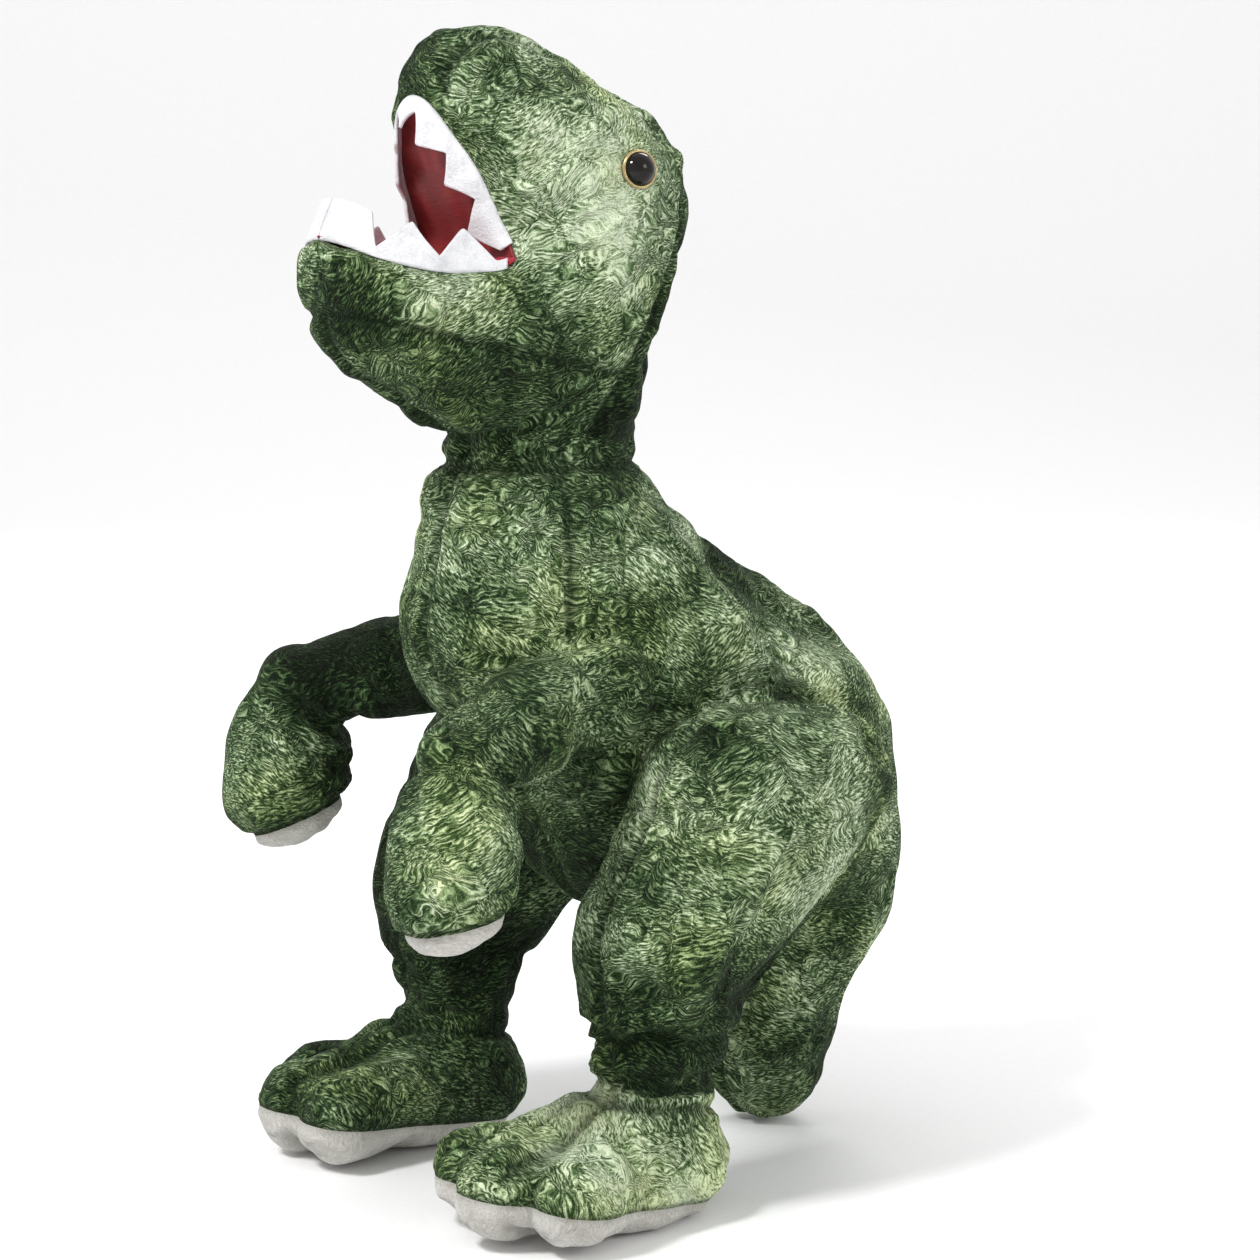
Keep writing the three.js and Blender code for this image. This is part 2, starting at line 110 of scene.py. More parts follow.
def column(p, stations, bottom, top):
    """Level ellipses [x, y, z, half width, half depth] stacked up Z, with a dome at both ends."""
    rows = np.array(sorted(stations, key=lambda s: s[2]), float)
    z = np.clip(p[:, 2], rows[0, 2], rows[-1, 2])
    at = hermite(z, rows[:, 2], rows[:, [0, 1, 3, 4]])
    dx, dy = (p[:, 0] - at[:, 0]) / at[:, 2], (p[:, 1] - at[:, 1]) / at[:, 3]
    over = np.where(p[:, 2] > rows[-1, 2], (p[:, 2] - rows[-1, 2]) / top, 0)
    under = np.where(p[:, 2] < rows[0, 2], (rows[0, 2] - p[:, 2]) / bottom, 0)
    q = (dx**2 + dy**2 + (over + under) ** 2) ** 0.5
    steep = np.sqrt((dx / at[:, 2]) ** 2 + (dy / at[:, 3]) ** 2 + (over / top) ** 2 + (under / bottom) ** 2)
    steep = steep / np.maximum(q, 0.2)
    return (q - 1) / np.maximum(steep, 1 / 90)


def tube(p, points, radii, squeeze=(1, 1, 1), k=3.0):
    """Round cones from point to point, narrower along an axis whose squeeze is above 1."""
    w = np.array(squeeze, float)
    out = None
    for a, b, ra, rb in zip(points[:-1], points[1:], radii[:-1], radii[1:]):
        a, b = np.array(a, float), np.array(b, float)
        ab = b - a
        t = np.clip(((p - a) @ ab) / (ab @ ab), 0, 1)
        d = np.linalg.norm((p - a - t[:, None] * ab) * w, axis=1) - (ra + (rb - ra) * t)
        out = d if out is None else smooth_min(out, d, k)
    return out


def unit(v):
    v = np.array(v, float)
    return v / np.linalg.norm(v)


def plane(p, point, normal):
    """Distance from a plane, positive on the side that the normal points to."""
    return (p - np.array(point, float)) @ unit(normal)


SIDES = {"left": 1, "right": -1}
# Level ellipses of the body's forms: x, y, z, half width, half depth.
TORSO = [
    (0, -3, 279, 33, 33), (0, -3, 259, 40, 43), (0, 10, 233, 49, 62), (0, 28, 210, 56, 84),
    (0, 47, 184, 60, 91.5), (0, 69, 150, 59, 84), (0, 76, 118, 56, 73),
]
TAIL = [
    (0, 109, 118, 44, 44), (0, 110, 102, 43, 43.5), (0, 110, 81, 41, 41.5), (0, 109, 60, 36, 36.5),
    (0, 108, 41, 30, 30), (0, 107, 26, 24, 24),
]
LEG = [
    (70, 48, 150, 33, 54), (71, 42, 135, 35, 57), (70, 24, 111, 34.5, 53), (67, 9, 85, 29, 38),
    (66, 2, 70, 24, 29), (65, 0, 54, 21.5, 22.5), (65, 0, 42, 20.5, 21),
]
CRANIUM = [
    (0, -2, 283, 33, 33), (0, 1, 300, 38, 39), (0, 6, 325, 42, 44), (0, 9, 352, 43, 47), (0, 9, 372, 40, 45),
]
SHOULDER = {1: (42, -12, 189), -1: (-42, -12, 193)}
ELBOW = {1: (62, -80, 175), -1: (-80, -58, 181)}
HAND = {1: (66, -89, 134), -1: (-85, -62, 143)}
ANKLE = (65, 0, 42)
FOOT_TURN = {1: 2.0, -1: 11.0}
EYE_AT = (40, 12, 377)
EYE_TURN = math.radians(8)
EYE_RADIUS = 6.7
# The mouth is a wedge between two planes that meet at its corner, and each has a way up and a way forward.
CORNER = (0, -32.4, 343)
ROOF = (0, -0.9165, -0.40)
ROOF_ALONG = (0, -0.40, 0.9165)
FLOOR_UP = (0, 0.124, 0.992)
FLOOR_ALONG = (0, -0.992, 0.124)
# How far the mouth's floor dips below its plane, at distances forward of the neck's axis.
SAG_AT = (25, 45, 65, 76, 90, 100, 108)
SAG = [(0,), (2.4,), (5,), (4.6,), (1.8,), (-3,), (-5.4,)]


def torso_form(p):
    return column(p, TORSO, 26, 30)


def tail_form(p):
    return column(p, TAIL, 24, 30)


def leg_form(p, side):
    """One leg; the right one is a little slimmer from front to back."""
    slim = 0 if side > 0 else 2.5
    stations = [(x * side, y + slim, z, wide, deep - slim) for x, y, z, wide, deep in LEG]
    return column(p, stations, 20, 34)


def head_solid(p):
    d = column(p, CRANIUM, 33, 35)
    jaw = tube(p, [(0, -3, 356), (0, -17, 381), (0, -31, 400)], [44.5, 40.5, 29], (1.06, 1, 1), 6)
    chin = tube(p, [(0, 0, 325), (0, -36, 325), (0, -65, 335), (0, -71, 345)], [41.5, 39.5, 33, 29.5],
                (1.02, 1, 1), 6)
    return smooth_min(smooth_min(d, jaw, 8), chin, 8)


def floor_sag(y):
    return hermite(-y, SAG_AT, SAG)[..., 0]


def above_floor(p):
    return plane(p, CORNER, FLOOR_UP) + floor_sag(p[:, 1])


def gape_form(p):
    """Negative inside the open mouth; the corner between its roof and its floor is rounded."""
    return smooth_max(-plane(p, CORNER, ROOF), -above_floor(p), 15)


def head_form(p):
    return smooth_max(head_solid(p), -gape_form(p), 3)


def foot_frame(p, side):
    """Either foot's points as they lie on a left foot that points straight ahead."""
    angle = math.radians(-FOOT_TURN[side] * side)
    c, s = math.cos(angle), math.sin(angle)
    x, y = p[:, 0] - ANKLE[0] * side, p[:, 1] - ANKLE[1]
    return np.stack([(c * x - s * y) * side + ANKLE[0], s * x + c * y + ANKLE[1], p[:, 2]], 1)


def foot_form(p, side):
    q = foot_frame(p, side)
    heel = 22.5 if side > 0 else 25.5
    d = tube(q, [(66, 2, 21), (63, -20, 21), (60, -42, 18)], [heel, 26, 20], (0.88, 1, 1), 8)
    d = smooth_min(d, tube(q, [(65, 0, 22), (65, 0, 46)], [23, 21], k=4), 8)
    toes = None
    for root, tip, radii in (
        ((45, -30, 22), (36, -59, 19.5), (16.5, 16.5)),
        ((61, -32, 23), (60, -65, 20), (17, 17.5)),
        ((77, -26, 22), (84, -51, 19.5), (16.5, 16.5)),
    ):
        toe = tube(q, [root, tip], radii)
        toes = toe if toes is None else smooth_min(toes, toe, 1.2)
    d = smooth_min(d, toes, 4)
    return smooth_max(d, -p[:, 2] + 0.4, 5)


def arm_form(p, side):
    shoulder, elbow, hand = (np.array(v[side], float) for v in (SHOULDER, ELBOW, HAND))
    between = (shoulder + elbow) / 2
    thin = 0 if side > 0 else 3
    d = tube(p, [shoulder, between, elbow], [21.5 - thin, 18.5 - thin, 15.5 - thin / 2], k=5)
    palm = elbow + (hand - elbow) * 0.66
    tip = hand + (hand - elbow) * 0.05
    paw = tube(p, [elbow, palm, tip], [14.5, 22, 23.5], (1.12, 1, 1), 6)
    d = smooth_min(d, paw, 1.5)
    pad = plane(p, hand + np.array([0, 14, -16]), (0, 0.5, -0.87))
    return smooth_max(d, pad, 9)


def toy_form(p):
    d = smooth_min(torso_form(p), tail_form(p), 10)
    for side in SIDES.values():
        leg = smooth_min(leg_form(p, side), foot_form(p, side), 3)
        d = smooth_min(d, leg, 7)
        d = smooth_min(d, arm_form(p, side), 5)
    return smooth_min(d, head_form(p), 3)


def surface_nets(form, low, high, step):
    """An even mesh of quads on the zero level of a distance field."""
    axes = [np.arange(a, b + step, step) for a, b in zip(low, high)]
    shape = tuple(len(a) for a in axes)
    grid = np.stack(np.meshgrid(*axes, indexing="ij"), -1).reshape(-1, 3)
    value = np.concatenate([form(part) for part in np.array_split(grid, 40)]).reshape(shape)
    cells = tuple(n - 1 for n in shape)
    total, count = np.zeros((*cells, 3)), np.zeros(cells)
    corners = [(i, j, k) for i in (0, 1) for j in (0, 1) for k in (0, 1)]
    for a in corners:
        for axis in range(3):
            if a[axis]:
                continue
            b = tuple(1 if n == axis else a[n] for n in range(3))
            va = value[tuple(slice(a[n], a[n] + cells[n]) for n in range(3))]
            vb = value[tuple(slice(b[n], b[n] + cells[n]) for n in range(3))]
            cross = (va < 0) != (vb < 0)
            t = np.where(cross, va / np.where(cross, va - vb, 1), 0)
            place = np.array(a, float) + t[..., None] * (np.array(b) - np.array(a))
            total += np.where(cross[..., None], place, 0)
            count += cross
    live = count > 0
    number = np.full(cells, -1, int)
    number[live] = np.arange(live.sum())
    index = np.argwhere(live)
    verts = np.array(low, float) + (index + total[live] / count[live][:, None]) * step
    faces = []
    for axis in range(3):
        u, v = (axis + 1) % 3, (axis + 2) % 3
        near = [slice(1, -1)] * 3
        near[axis] = slice(0, shape[axis] - 1)
        far = list(near)
        far[axis] = slice(1, shape[axis])
        va, vb = value[tuple(near)], value[tuple(far)]
        for positive in (False, True):
            hit = np.argwhere(((va < 0) != (vb < 0)) & ((va < 0) != positive))
            base = hit.copy()
            for n in (u, v):
                base[:, n] += 1
            ring = []
            for du, dv in ((0, 0), (-1, 0), (-1, -1), (0, -1)):
                c = base.copy()
                c[:, u] += du
                c[:, v] += dv
                ring.append(number[c[:, 0], c[:, 1], c[:, 2]])
            quad = np.stack(ring, 1)
            faces.append(quad[:, ::-1] if positive else quad)
    return verts, np.concatenate(faces)


def relax(form, verts, rounds=3):
    """Slides points onto the zero level along the field's slope."""
    h = 0.3
    for _ in range(rounds):
        f = form(verts)
        slope = np.stack([
            (form(verts + np.eye(3)[n] * h) - form(verts - np.eye(3)[n] * h)) / (2 * h) for n in range(3)
        ], 1)
        size = np.maximum((slope**2).sum(1), 0.2)
        verts = verts - np.clip(f / size, -2, 2)[:, None] * slope
    return verts


def place(name, mesh):
    made = bpy.data.objects.new(name, mesh)
    bpy.context.scene.collection.objects.link(made)
    return made


def mesh_object(name, verts, faces):
    """A smooth-shaded mesh in the scene."""
    mesh = bpy.data.meshes.new(name)
    mesh.from_pydata([tuple(v) for v in verts], [], [tuple(int(i) for i in f) for f in faces])
    for polygon in mesh.polygons:
        polygon.use_smooth = True
    mesh.update()
    return place(name, mesh)


def per_point(mesh, name):
    values = np.zeros(len(mesh.vertices) * 3, np.float32)
    mesh.vertices.foreach_get(name, values)
    return values.reshape(-1, 3).astype(float)


def coords(mesh):
    return per_point(mesh, "co")


def normals(mesh):
    return per_point(mesh, "normal")


def quads_of(mesh):
    corners = np.zeros(len(mesh.loops), int)
    mesh.loops.foreach_get("vertex_index", corners)
    return corners.reshape(-1, 4)


def set_coords(mesh, co):
    mesh.vertices.foreach_set("co", np.asarray(co, np.float32).ravel())
    mesh.update()


# ---------------------------------------------------------------- seams, in the pattern's frame
PARTS = ("head", "torso", "tail", "leg_left", "leg_right", "foot_left", "foot_right", "arm_left", "arm_right")
# Seams that lie in a plane: a point, and the way the plane faces.
SOLE_SEAM = ((0, -20, 11.5), (0, 0.15, 1))
NAPE_SEAM = ((0, 16, 320), (0, 1, -0.55))
CHIN_SEAM = ((0, -60, 318), (0, -0.22, -1))
CHEST_SEAM = ((0, -24, 200), (0, -1, 0.1))
LEG_SEAM_X = 70
NECK_SEAM_Z = 271
ANKLE_SEAM_Z = 43
GUSSET_HALF = 14
PAD_SEAM = np.array([0.0, 4.0, -12.5])
PAD_WAY = {1: (0.10, 0.16, -0.98), -1: (0.22, 0.30, -0.93)}
TOE_LINES = (((50, -74), (54, -26)), ((72, -72), (68, -24)))
FAR = 99.0


def part_of(p):
    """The number in PARTS of the form that each point lies on."""
    forms = [head_form(p), torso_form(p), tail_form(p) + 1]
    for form in (leg_form, foot_form, arm_form):
        forms += [form(p, side) for side in SIDES.values()]
    return np.argmin(np.array(forms), axis=0)


def on(part, *names):
    """Whether each point lies on one of the named forms."""
    return np.isin(part, [PARTS.index(name) for name in names])


def pad_plane(p, side):
    return plane(p, np.array(HAND[side], float) + PAD_SEAM, PAD_WAY[side])


def toe_line(p, side):
    """Distance to the two stitched lines between the toes, over the top and the sole's front."""
    q = foot_frame(p, side)[:, :2]
    best = np.full(len(p), FAR)
    for a, b in TOE_LINES:
        a, b = np.array(a, float), np.array(b, float)
        t = np.clip(((q - a) @ (b - a)) / ((b - a) @ (b - a)), 0, 1)
        best = np.minimum(best, np.linalg.norm(q - a - t[:, None] * (b - a), axis=1))
    return best


def seam_distance(p, part):
    """Millimetres to the nearest sewn seam, and to the nearest stitched fold line."""
    x, y, z = p.T
    head, torso = on(part, "head"), on(part, "torso")
    under, nape = plane(p, *CHIN_SEAM), plane(p, *NAPE_SEAM)
    over_mouth = plane(p, CORNER, ROOF) < 0
    seams = [
        (torso | on(part, "tail"), x),
        (torso & (z > 150), plane(p, *CHEST_SEAM)),
        (head & over_mouth & (nape < 0), np.abs(x) - GUSSET_HALF),
        (head & (nape < 4), under),
        (head, nape),
        (head & (under > 0) & (nape < 0), x),
        (head | torso, z - NECK_SEAM_Z),
    ]
    folds = np.full(len(p), FAR)
    for name, side in SIDES.items():
        leg, foot, arm = (on(part, f"{limb}_{name}") for limb in ("leg", "foot", "arm"))
        seams += [
            (leg, x - LEG_SEAM_X * side), (leg | foot, z - ANKLE_SEAM_Z + 0.18 * y),
            (foot, plane(p, *SOLE_SEAM)), (arm, pad_plane(p, side)),
        ]
        folds = np.where(foot, np.minimum(folds, toe_line(p, side)), folds)
    sewn = np.full(len(p), FAR)
    for where, away in seams:
        sewn = np.where(where, np.minimum(sewn, np.abs(away)), sewn)
    return sewn, folds


# ---------------------------------------------------------------- the skin, stuffed and sewn
FORM_LOW, FORM_HIGH, FORM_STEP = (-118, -128, -8), (118, 172, 448), 3.6
PUFF_LIMIT = 7.0
CLOTH_FRAMES = 20
MOUTH_EDGE = 3
SOLE_FLAT_Z = 3


def in_mouth(p):
    inside = (plane(p, CORNER, ROOF) > -MOUTH_EDGE) & (above_floor(p) > -MOUTH_EDGE)
    return inside & (p[:, 1] < CORNER[1] + 4)


def stuff(skin, free):
    """Where the cloth solver puts the inflated skin's points. free is how loose each is, 0 where sewn down."""
    group = skin.vertex_groups.new(name="sewn")
    for level in range(11):
        chosen = np.flatnonzero(np.round((1 - free) * 10) == level)
        if level and len(chosen):
            group.add([int(i) for i in chosen], level / 10, "REPLACE")
    cloth = skin.modifiers.new("stuffing", "CLOTH")
    fabric = cloth.settings
    fabric.quality = 5
    fabric.mass = 0.3
    fabric.tension_stiffness = 25
    fabric.compression_stiffness = 25
    fabric.shear_stiffness = 12
    fabric.bending_stiffness = 0.4
    fabric.shrink_min = -0.055
    fabric.use_pressure = True
    fabric.uniform_pressure_force = 4
    fabric.vertex_group_mass = "sewn"
    fabric.pin_stiffness = 1.0
    fabric.effector_weights.gravity = 0
    cloth.collision_settings.use_collision = False
    cloth.point_cache.frame_start = 1
    cloth.point_cache.frame_end = CLOTH_FRAMES
    for number in range(1, CLOTH_FRAMES + 1):
        bpy.context.scene.frame_set(number)
    shaped = skin.evaluated_get(bpy.context.evaluated_depsgraph_get())
    after = coords(shaped.data)
    skin.modifiers.remove(cloth)
    skin.vertex_groups.clear()
    bpy.context.scene.frame_set(1)
    return after


def store(mesh, name, values):
    kind = "FLOAT_VECTOR" if values.ndim == 2 else "FLOAT"
    made = mesh.attributes.get(name) or mesh.attributes.new(name, kind, "POINT")
    made.data.foreach_set("vector" if values.ndim == 2 else "value", np.asarray(values, np.float32).ravel())


def read(mesh, name):
    layer = mesh.attributes[name]
    wide = 3 if layer.data_type == "FLOAT_VECTOR" else 1
    out = np.zeros(len(mesh.vertices) * wide, np.float32)
    layer.data.foreach_get("vector" if wide == 3 else "value", out)
    return (out.reshape(-1, 3) if wide == 3 else out).astype(float)


def refine(target, levels=1):
    """One or more rounds of smooth subdivision, kept in the mesh."""
    rounding = target.modifiers.new("fine", "SUBSURF")
    rounding.levels = rounding.render_levels = levels
    fine = bpy.data.meshes.new_from_object(target.evaluated_get(bpy.context.evaluated_depsgraph_get()))
    target.modifiers.remove(rounding)
    old, target.data = target.data, fine
    bpy.data.meshes.remove(old)


def waves(p, seed, wavelength, count=24):
    """Smooth seeded noise, a sum of plane waves near one wavelength, about -1 to 1."""
    draw = np.random.default_rng(seed)
    out = np.zeros(len(p))
    for _ in range(count):
        way = draw.normal(size=3)
        way *= 2 * math.pi / (wavelength * draw.uniform(0.7, 1.5)) / np.linalg.norm(way)
        out += np.sin(p @ way + draw.uniform(0, 2 * math.pi))
    return out / math.sqrt(count / 2) / 1.6


def eye_centre(side):
    return np.array(EYE_AT) * (side, 1, 1)


def eye_axis(side):
    axis = np.array([math.cos(EYE_TURN) * side, -math.sin(EYE_TURN), 0.12])
    return axis / np.linalg.norm(axis)


def looseness(base):
    """How far each point may move when the skin is stuffed: 0 at seams, mouth, soles and eyes, up to 1."""
    sewn, folded = seam_distance(base, part_of(base))
    free = np.clip((np.minimum(sewn, folded) - 1.5) / 4, 0, 1)
    free = np.where(in_mouth(base) | (base[:, 2] < SOLE_FLAT_Z), 0, free)
    for side in SIDES.values():
        from_eye = np.linalg.norm(base - eye_centre(side), axis=1)
        free = np.minimum(free, np.clip((from_eye - 9) / 8, 0, 1))
    return free


def make_skin():
    """The whole toy's skin in one mesh, swollen between its seams and subdivided."""
    verts, faces = surface_nets(toy_form, FORM_LOW, FORM_HIGH, FORM_STEP)
    skin = mesh_object("toy_skin", row(relax(toy_form, verts)), faces)
    base = pattern(coords(skin.data))
    free = looseness(base)
    store(skin.data, "base", base)
    log(f"skin laid out: {len(verts)} points")
    before = coords(skin.data)
    puffed = stuff(skin, free)
    shift = (puffed - before) * 1000
    size = np.linalg.norm(shift, axis=1)
    log(f"stuffed: shift mean {size.mean():.2f} mm, p99 {np.percentile(size, 99):.2f}, max {size.max():.2f}")
    limit = np.minimum(1, PUFF_LIMIT / np.maximum(size, 1e-6))
    set_coords(skin.data, before + shift * limit[:, None] / 1000)
    refine(skin)
    log(f"refined: {len(skin.data.vertices)} points")
    return skin


# ---------------------------------------------------------------- seams, folds and lumps in the fine surface
ANKLE_FOLDS = ((51, 3.6, 1.5, 2.6), (58, 4.2, -2.5, 1.6), (66, 3.6, 2.5, 2.2), (75, 2.2, -3.0, 3.0))
ELBOW_FOLDS = ((2, 4.2), (-7, 1.8), (10, 1.4))
NECK_FOLDS = ((278, 1.2, 0.5), (263, 1.3, 2.2))


def bell(d, width):
    return np.exp(-((d / width) ** 2))


def fold_ankles(base, part, out, crease):
    """Slack rings round each leg above its foot: height, depth, tilt and phase of each."""
    x, y, z = base.T
    for name, side in SIDES.items():
        near = on(part, f"leg_{name}", f"foot_{name}") & (z > 46)
        around = np.arctan2(y, (x - ANKLE[0] * side) * side)
        slack = 1.0 if side > 0 else 0.4
        for level, depth, tilt, phase in ANKLE_FOLDS:
            ring = z - level - tilt * np.sin(around + phase) - 0.9 * np.sin(3 * around + phase * 2)
            share = slack * np.clip(0.55 + 0.7 * np.sin(around + phase), 0, 1)
            out -= np.where(near, depth * share * bell(ring, 2.3), 0)
            # The crease value is painted shade in the bottom of the fold.
            np.maximum(crease, np.where(near, 0.75 * share * bell(ring, 1.6), 0), out=crease)
            out += np.where(near, 1.8 * share * bell(ring - 4.2, 2.8), 0)


def fold_elbows(base, part, out, crease):
    """Creases across the inner side of each elbow: distance along the arm, and depth."""
    for name, side in SIDES.items():
        arm = on(part, f"arm_{name}")
        elbow, shoulder, hand = (np.array(v[side], float) for v in (ELBOW, SHOULDER, HAND))
        upper, lower = unit(elbow - shoulder), unit(hand - elbow)
        inside = np.clip(((base - elbow) @ unit(lower - upper)) / 14 + 0.55, 0, 1)
        for offset, depth in ELBOW_FOLDS:
            along = (base - elbow) @ unit(upper + lower) - offset + 1.6 * np.sin(base[:, 0] / 6.0 + offset)
            out -= np.where(arm, depth * inside * bell(along, 2.3), 0)
            # The crease value is painted shade in the bottom of the fold.
            np.maximum(crease, np.where(arm, depth / 5 * inside * bell(along, 1.6), 0), out=crease)
            out += np.where(arm, 0.9 * inside * bell(along - 4.5, 2.8), 0)


def fold_neck(base, part, out):
    """Shallow rings above and below the neck seam: height, depth and phase of each."""
    x, y, z = base.T
    around = np.arctan2(y + 2, x)
    for level, depth, phase in NECK_FOLDS:
        ring = z - level - 2.2 * np.sin(2 * around + phase)
        dent = depth * (0.6 + 0.4 * np.sin(around * 2 + phase)) * bell(ring, 2.4)
        out -= np.where(on(part, "head", "torso"), dent, 0)


def seat_eyes(co):
    """Flattens the skin under each eye's rim."""
    for side in SIDES.values():
        axis = eye_axis(side)
        rel = co - row(eye_centre(side))
        height = rel @ axis
        radial = np.linalg.norm(rel - height[:, None] * axis, axis=1)
        seat = np.clip((0.0125 - radial) / 0.005, 0, 1) * (height > -0.02)
        seat = seat * seat * (3 - 2 * seat)
        co -= np.where((seat > 0)[:, None], (seat * (height + 0.0004))[:, None] * axis, 0)


def detail(mesh):
    """Moves the fine points in or out, and stores what the materials need."""
    base = read(mesh, "base")
    part = part_of(base)
    sewn, folded = seam_distance(base, part)
    n = normals(mesh)
    z = base[:, 2]
    flat = in_mouth(base) | (z < 2.5)
    lumps = waves(base, 3, 46) * 0.9 + waves(base, 4, 21, 30) * 0.45
    # Fabric gathers beside a seam: short ripples that die away from it.
    gather = waves(base, 5, 11, 36) * 0.55 * bell(sewn - 5, 6)
    out = lumps * np.clip(sewn / 10, 0.2, 1) + gather
    at_sole = on(part, "foot_left", "foot_right") & (z < 30)
    out -= np.where(at_sole, 0.9, 2.4) * bell(sewn, 2.1)
    out -= 3.4 * bell(folded, 2.8)
    crease = np.zeros(len(base))
    fold_ankles(base, part, out, crease)
    fold_elbows(base, part, out, crease)
    fold_neck(base, part, out)
    co = coords(mesh) + n * np.where(flat, 0, out)[:, None] / 1000
    seat_eyes(co)
    set_coords(mesh, co)
    # The seam value darkens the colour: painted shade in the seam grooves, the stitched toe folds and the
    # ankle and elbow creases.
    seam = np.maximum(np.maximum(bell(sewn, 1.6), 0.9 * bell(folded, 2.0)), crease)
    across, along = nap_frame(part, n)
    store(mesh, "seam", np.where(flat, 0, seam))
    store(mesh, "tone", tone(base, part))
    store(mesh, "nap_across", across)
    store(mesh, "nap_along", along)


def nap_frame(part, n):
    """The two directions in the skin that the pile's rows are laid out by: along the panel, and across it."""
    run = np.array([
        (0, -0.35, 1), (0, 0.1, 1), (0, -0.1, 1), (0, 0, 1), (0, 0, 1), (0, 0.8, 0.5), (0, 0.8, 0.5),
        np.subtract(ELBOW[1], HAND[1]), np.subtract(ELBOW[-1], HAND[-1]),
    ], float)[part]
    along = run - n * np.einsum("ij,ij->i", run, n)[:, None]
    along /= np.linalg.norm(along, axis=1)[:, None] + 1e-6
    return np.cross(along, n), along


# Soft pale and dark places on the cloth: centre, radius, change of tone. They are partly the dye's own
# mottling and partly painted light and shade: paler where light falls on the near cheek and the near foot,
# darker on the throat, at the back of the head, under the far arm and between the legs.
DYE_AND_LIGHT_SPOTS = (
    ((34, -14, 392), 30, 0.22), ((42, -6, 350), 24, 0.16), ((38, 14, 352), 26, 0.12),
    ((26, -50, 322), 24, 0.10), ((0, -52, 415), 26, -0.30), ((-20, -30, 415), 30, -0.15),
    ((10, -95, 330), 22, -0.18), ((0, -40, 300), 30, -0.22), ((16, 46, 318), 32, -0.42),
    ((-16, 46, 318), 32, -0.42), ((30, 34, 385), 26, 0.10), ((20, 40, 372), 20, -0.12),
    ((26, -34, 246), 24, 0.18), ((8, -52, 214), 20, -0.22), ((30, -30, 214), 20, 0.10),
    ((50, 20, 210), 34, -0.06), ((58, 96, 168), 40, 0.16), ((50, 120, 140), 32, 0.10),
    ((62, 60, 185), 30, -0.10), ((0, 0, 130), 46, -0.22), ((104, 44, 150), 34, 0.14),
    ((100, 10, 120), 30, 0.00), ((92, 10, 84), 26, -0.12), ((66, 20, 62), 22, -0.14),
    ((40, 30, 90), 34, -0.28), ((72, -22, 30), 26, 0.20), ((36, -66, 20), 20, -0.34),
    ((60, -72, 22), 18, -0.26), ((86, -60, 20), 17, -0.30), ((66, 24, 24), 16, -0.10),
    ((-65, 10, 90), 62, -0.16), ((-68, -26, 24), 30, 0.06), ((-50, -34, 188), 34, -0.38),
    ((-80, -58, 178), 26, -0.10), ((-88, -66, 138), 22, 0.10), ((54, -50, 182), 28, -0.06),
    ((66, -92, 140), 24, 0.02), ((64, -78, 168), 20, -0.16), ((40, 112, 70), 44, -0.02),
    ((30, 110, 34), 26, -0.16), ((-30, 110, 60), 44, -0.10),
)


# How much paler or darker than the dye's mean each form in PARTS is painted: painted shade on the far
# leg, foot and arm, and painted light on the near foot.
PART_TONE = np.array([0.02, 0, 0, -0.02, -0.16, 0.26, -0.08, 0, -0.10])


def tone(p, part):
    """How pale the cloth is, 0 to 1: the dye's own mottling with painted light and shade laid over it."""
    x, z = p[:, 0], p[:, 2]
    head, near_leg = on(part, "head"), on(part, "leg_left")
    out = 0.54 + 0.13 * waves(p, 11, 62, 20) + 0.07 * waves(p, 12, 30, 24)
    for centre, radius, change in DYE_AND_LIGHT_SPOTS:
        away = np.linalg.norm(p - np.array(centre, float), axis=1)
        out += change * np.exp(-((away / radius) ** 2))
    # Painted light and shade on each form, and painted shade at the back of the head and under the chin. The
    # near leg is also made darker low down and paler on its inner panel.
    out += PART_TONE[part]
    out -= np.where(near_leg, 0.16 * np.clip((104 - z) / 20, 0, 1), 0)
    out -= np.where(head & (plane(p, *NAPE_SEAM) > 0), 0.14, 0)
    out -= np.where(head & (plane(p, *CHIN_SEAM) > 0), 0.08, 0)
    out += np.where(near_leg & (x < LEG_SEAM_X), 0.07, 0)
    return np.clip(out, 0.02, 0.98)


skin = make_skin()
detail(skin.data)
log("seams and folds")


# ---------------------------------------------------------------- cut the skin at the joints
def joint_line(start, direction, length):
    start = np.array(start, float)
    return start, start + unit(direction) * length


def along_line(p, line):
    start, end = line
    d = end - start
    return ((p - start) @ d) / (d @ d)


# A line at each joint, from where its piece is cut off into the piece, and a point well inside it.
BENDS = {
    "head": (joint_line((0, -2, 275), (0, 0, 1), 24), (0, 20, 380)),
    "neck": (joint_line((0, -2, 236), (0, 0, 1), 34), None),
    "tail": (joint_line((0, 96, 112), (0, 0.7, -0.7), 36), (0, 108, 6)),
}
for name, side in SIDES.items():
    shoulder, elbow, hand = (np.array(v[side], float) for v in (SHOULDER, ELBOW, HAND))
    across_elbow = unit(elbow - shoulder) + unit(hand - elbow)
    hip_line = joint_line((77 * side, 43, 154), (0.72 * side, -0.5, -0.48), 38)
    ankle_line = joint_line((65 * side, 0, 57), (0, -0.12, -1), 22)
    shoulder_line = joint_line(shoulder + (elbow - shoulder) * 0.24, (0.6 * side, -0.76, -0.12), 16)
    elbow_line = joint_line(elbow - unit(across_elbow) * 9, across_elbow, 18)
    BENDS[f"leg_{name}"] = (hip_line, (66 * side, 0, 60))
    BENDS[f"foot_{name}"] = (ankle_line, (62 * side, -40, 8))
    BENDS[f"upper_arm_{name}"] = (shoulder_line, ELBOW[side])
    BENDS[f"forearm_{name}"] = (elbow_line, HAND[side])


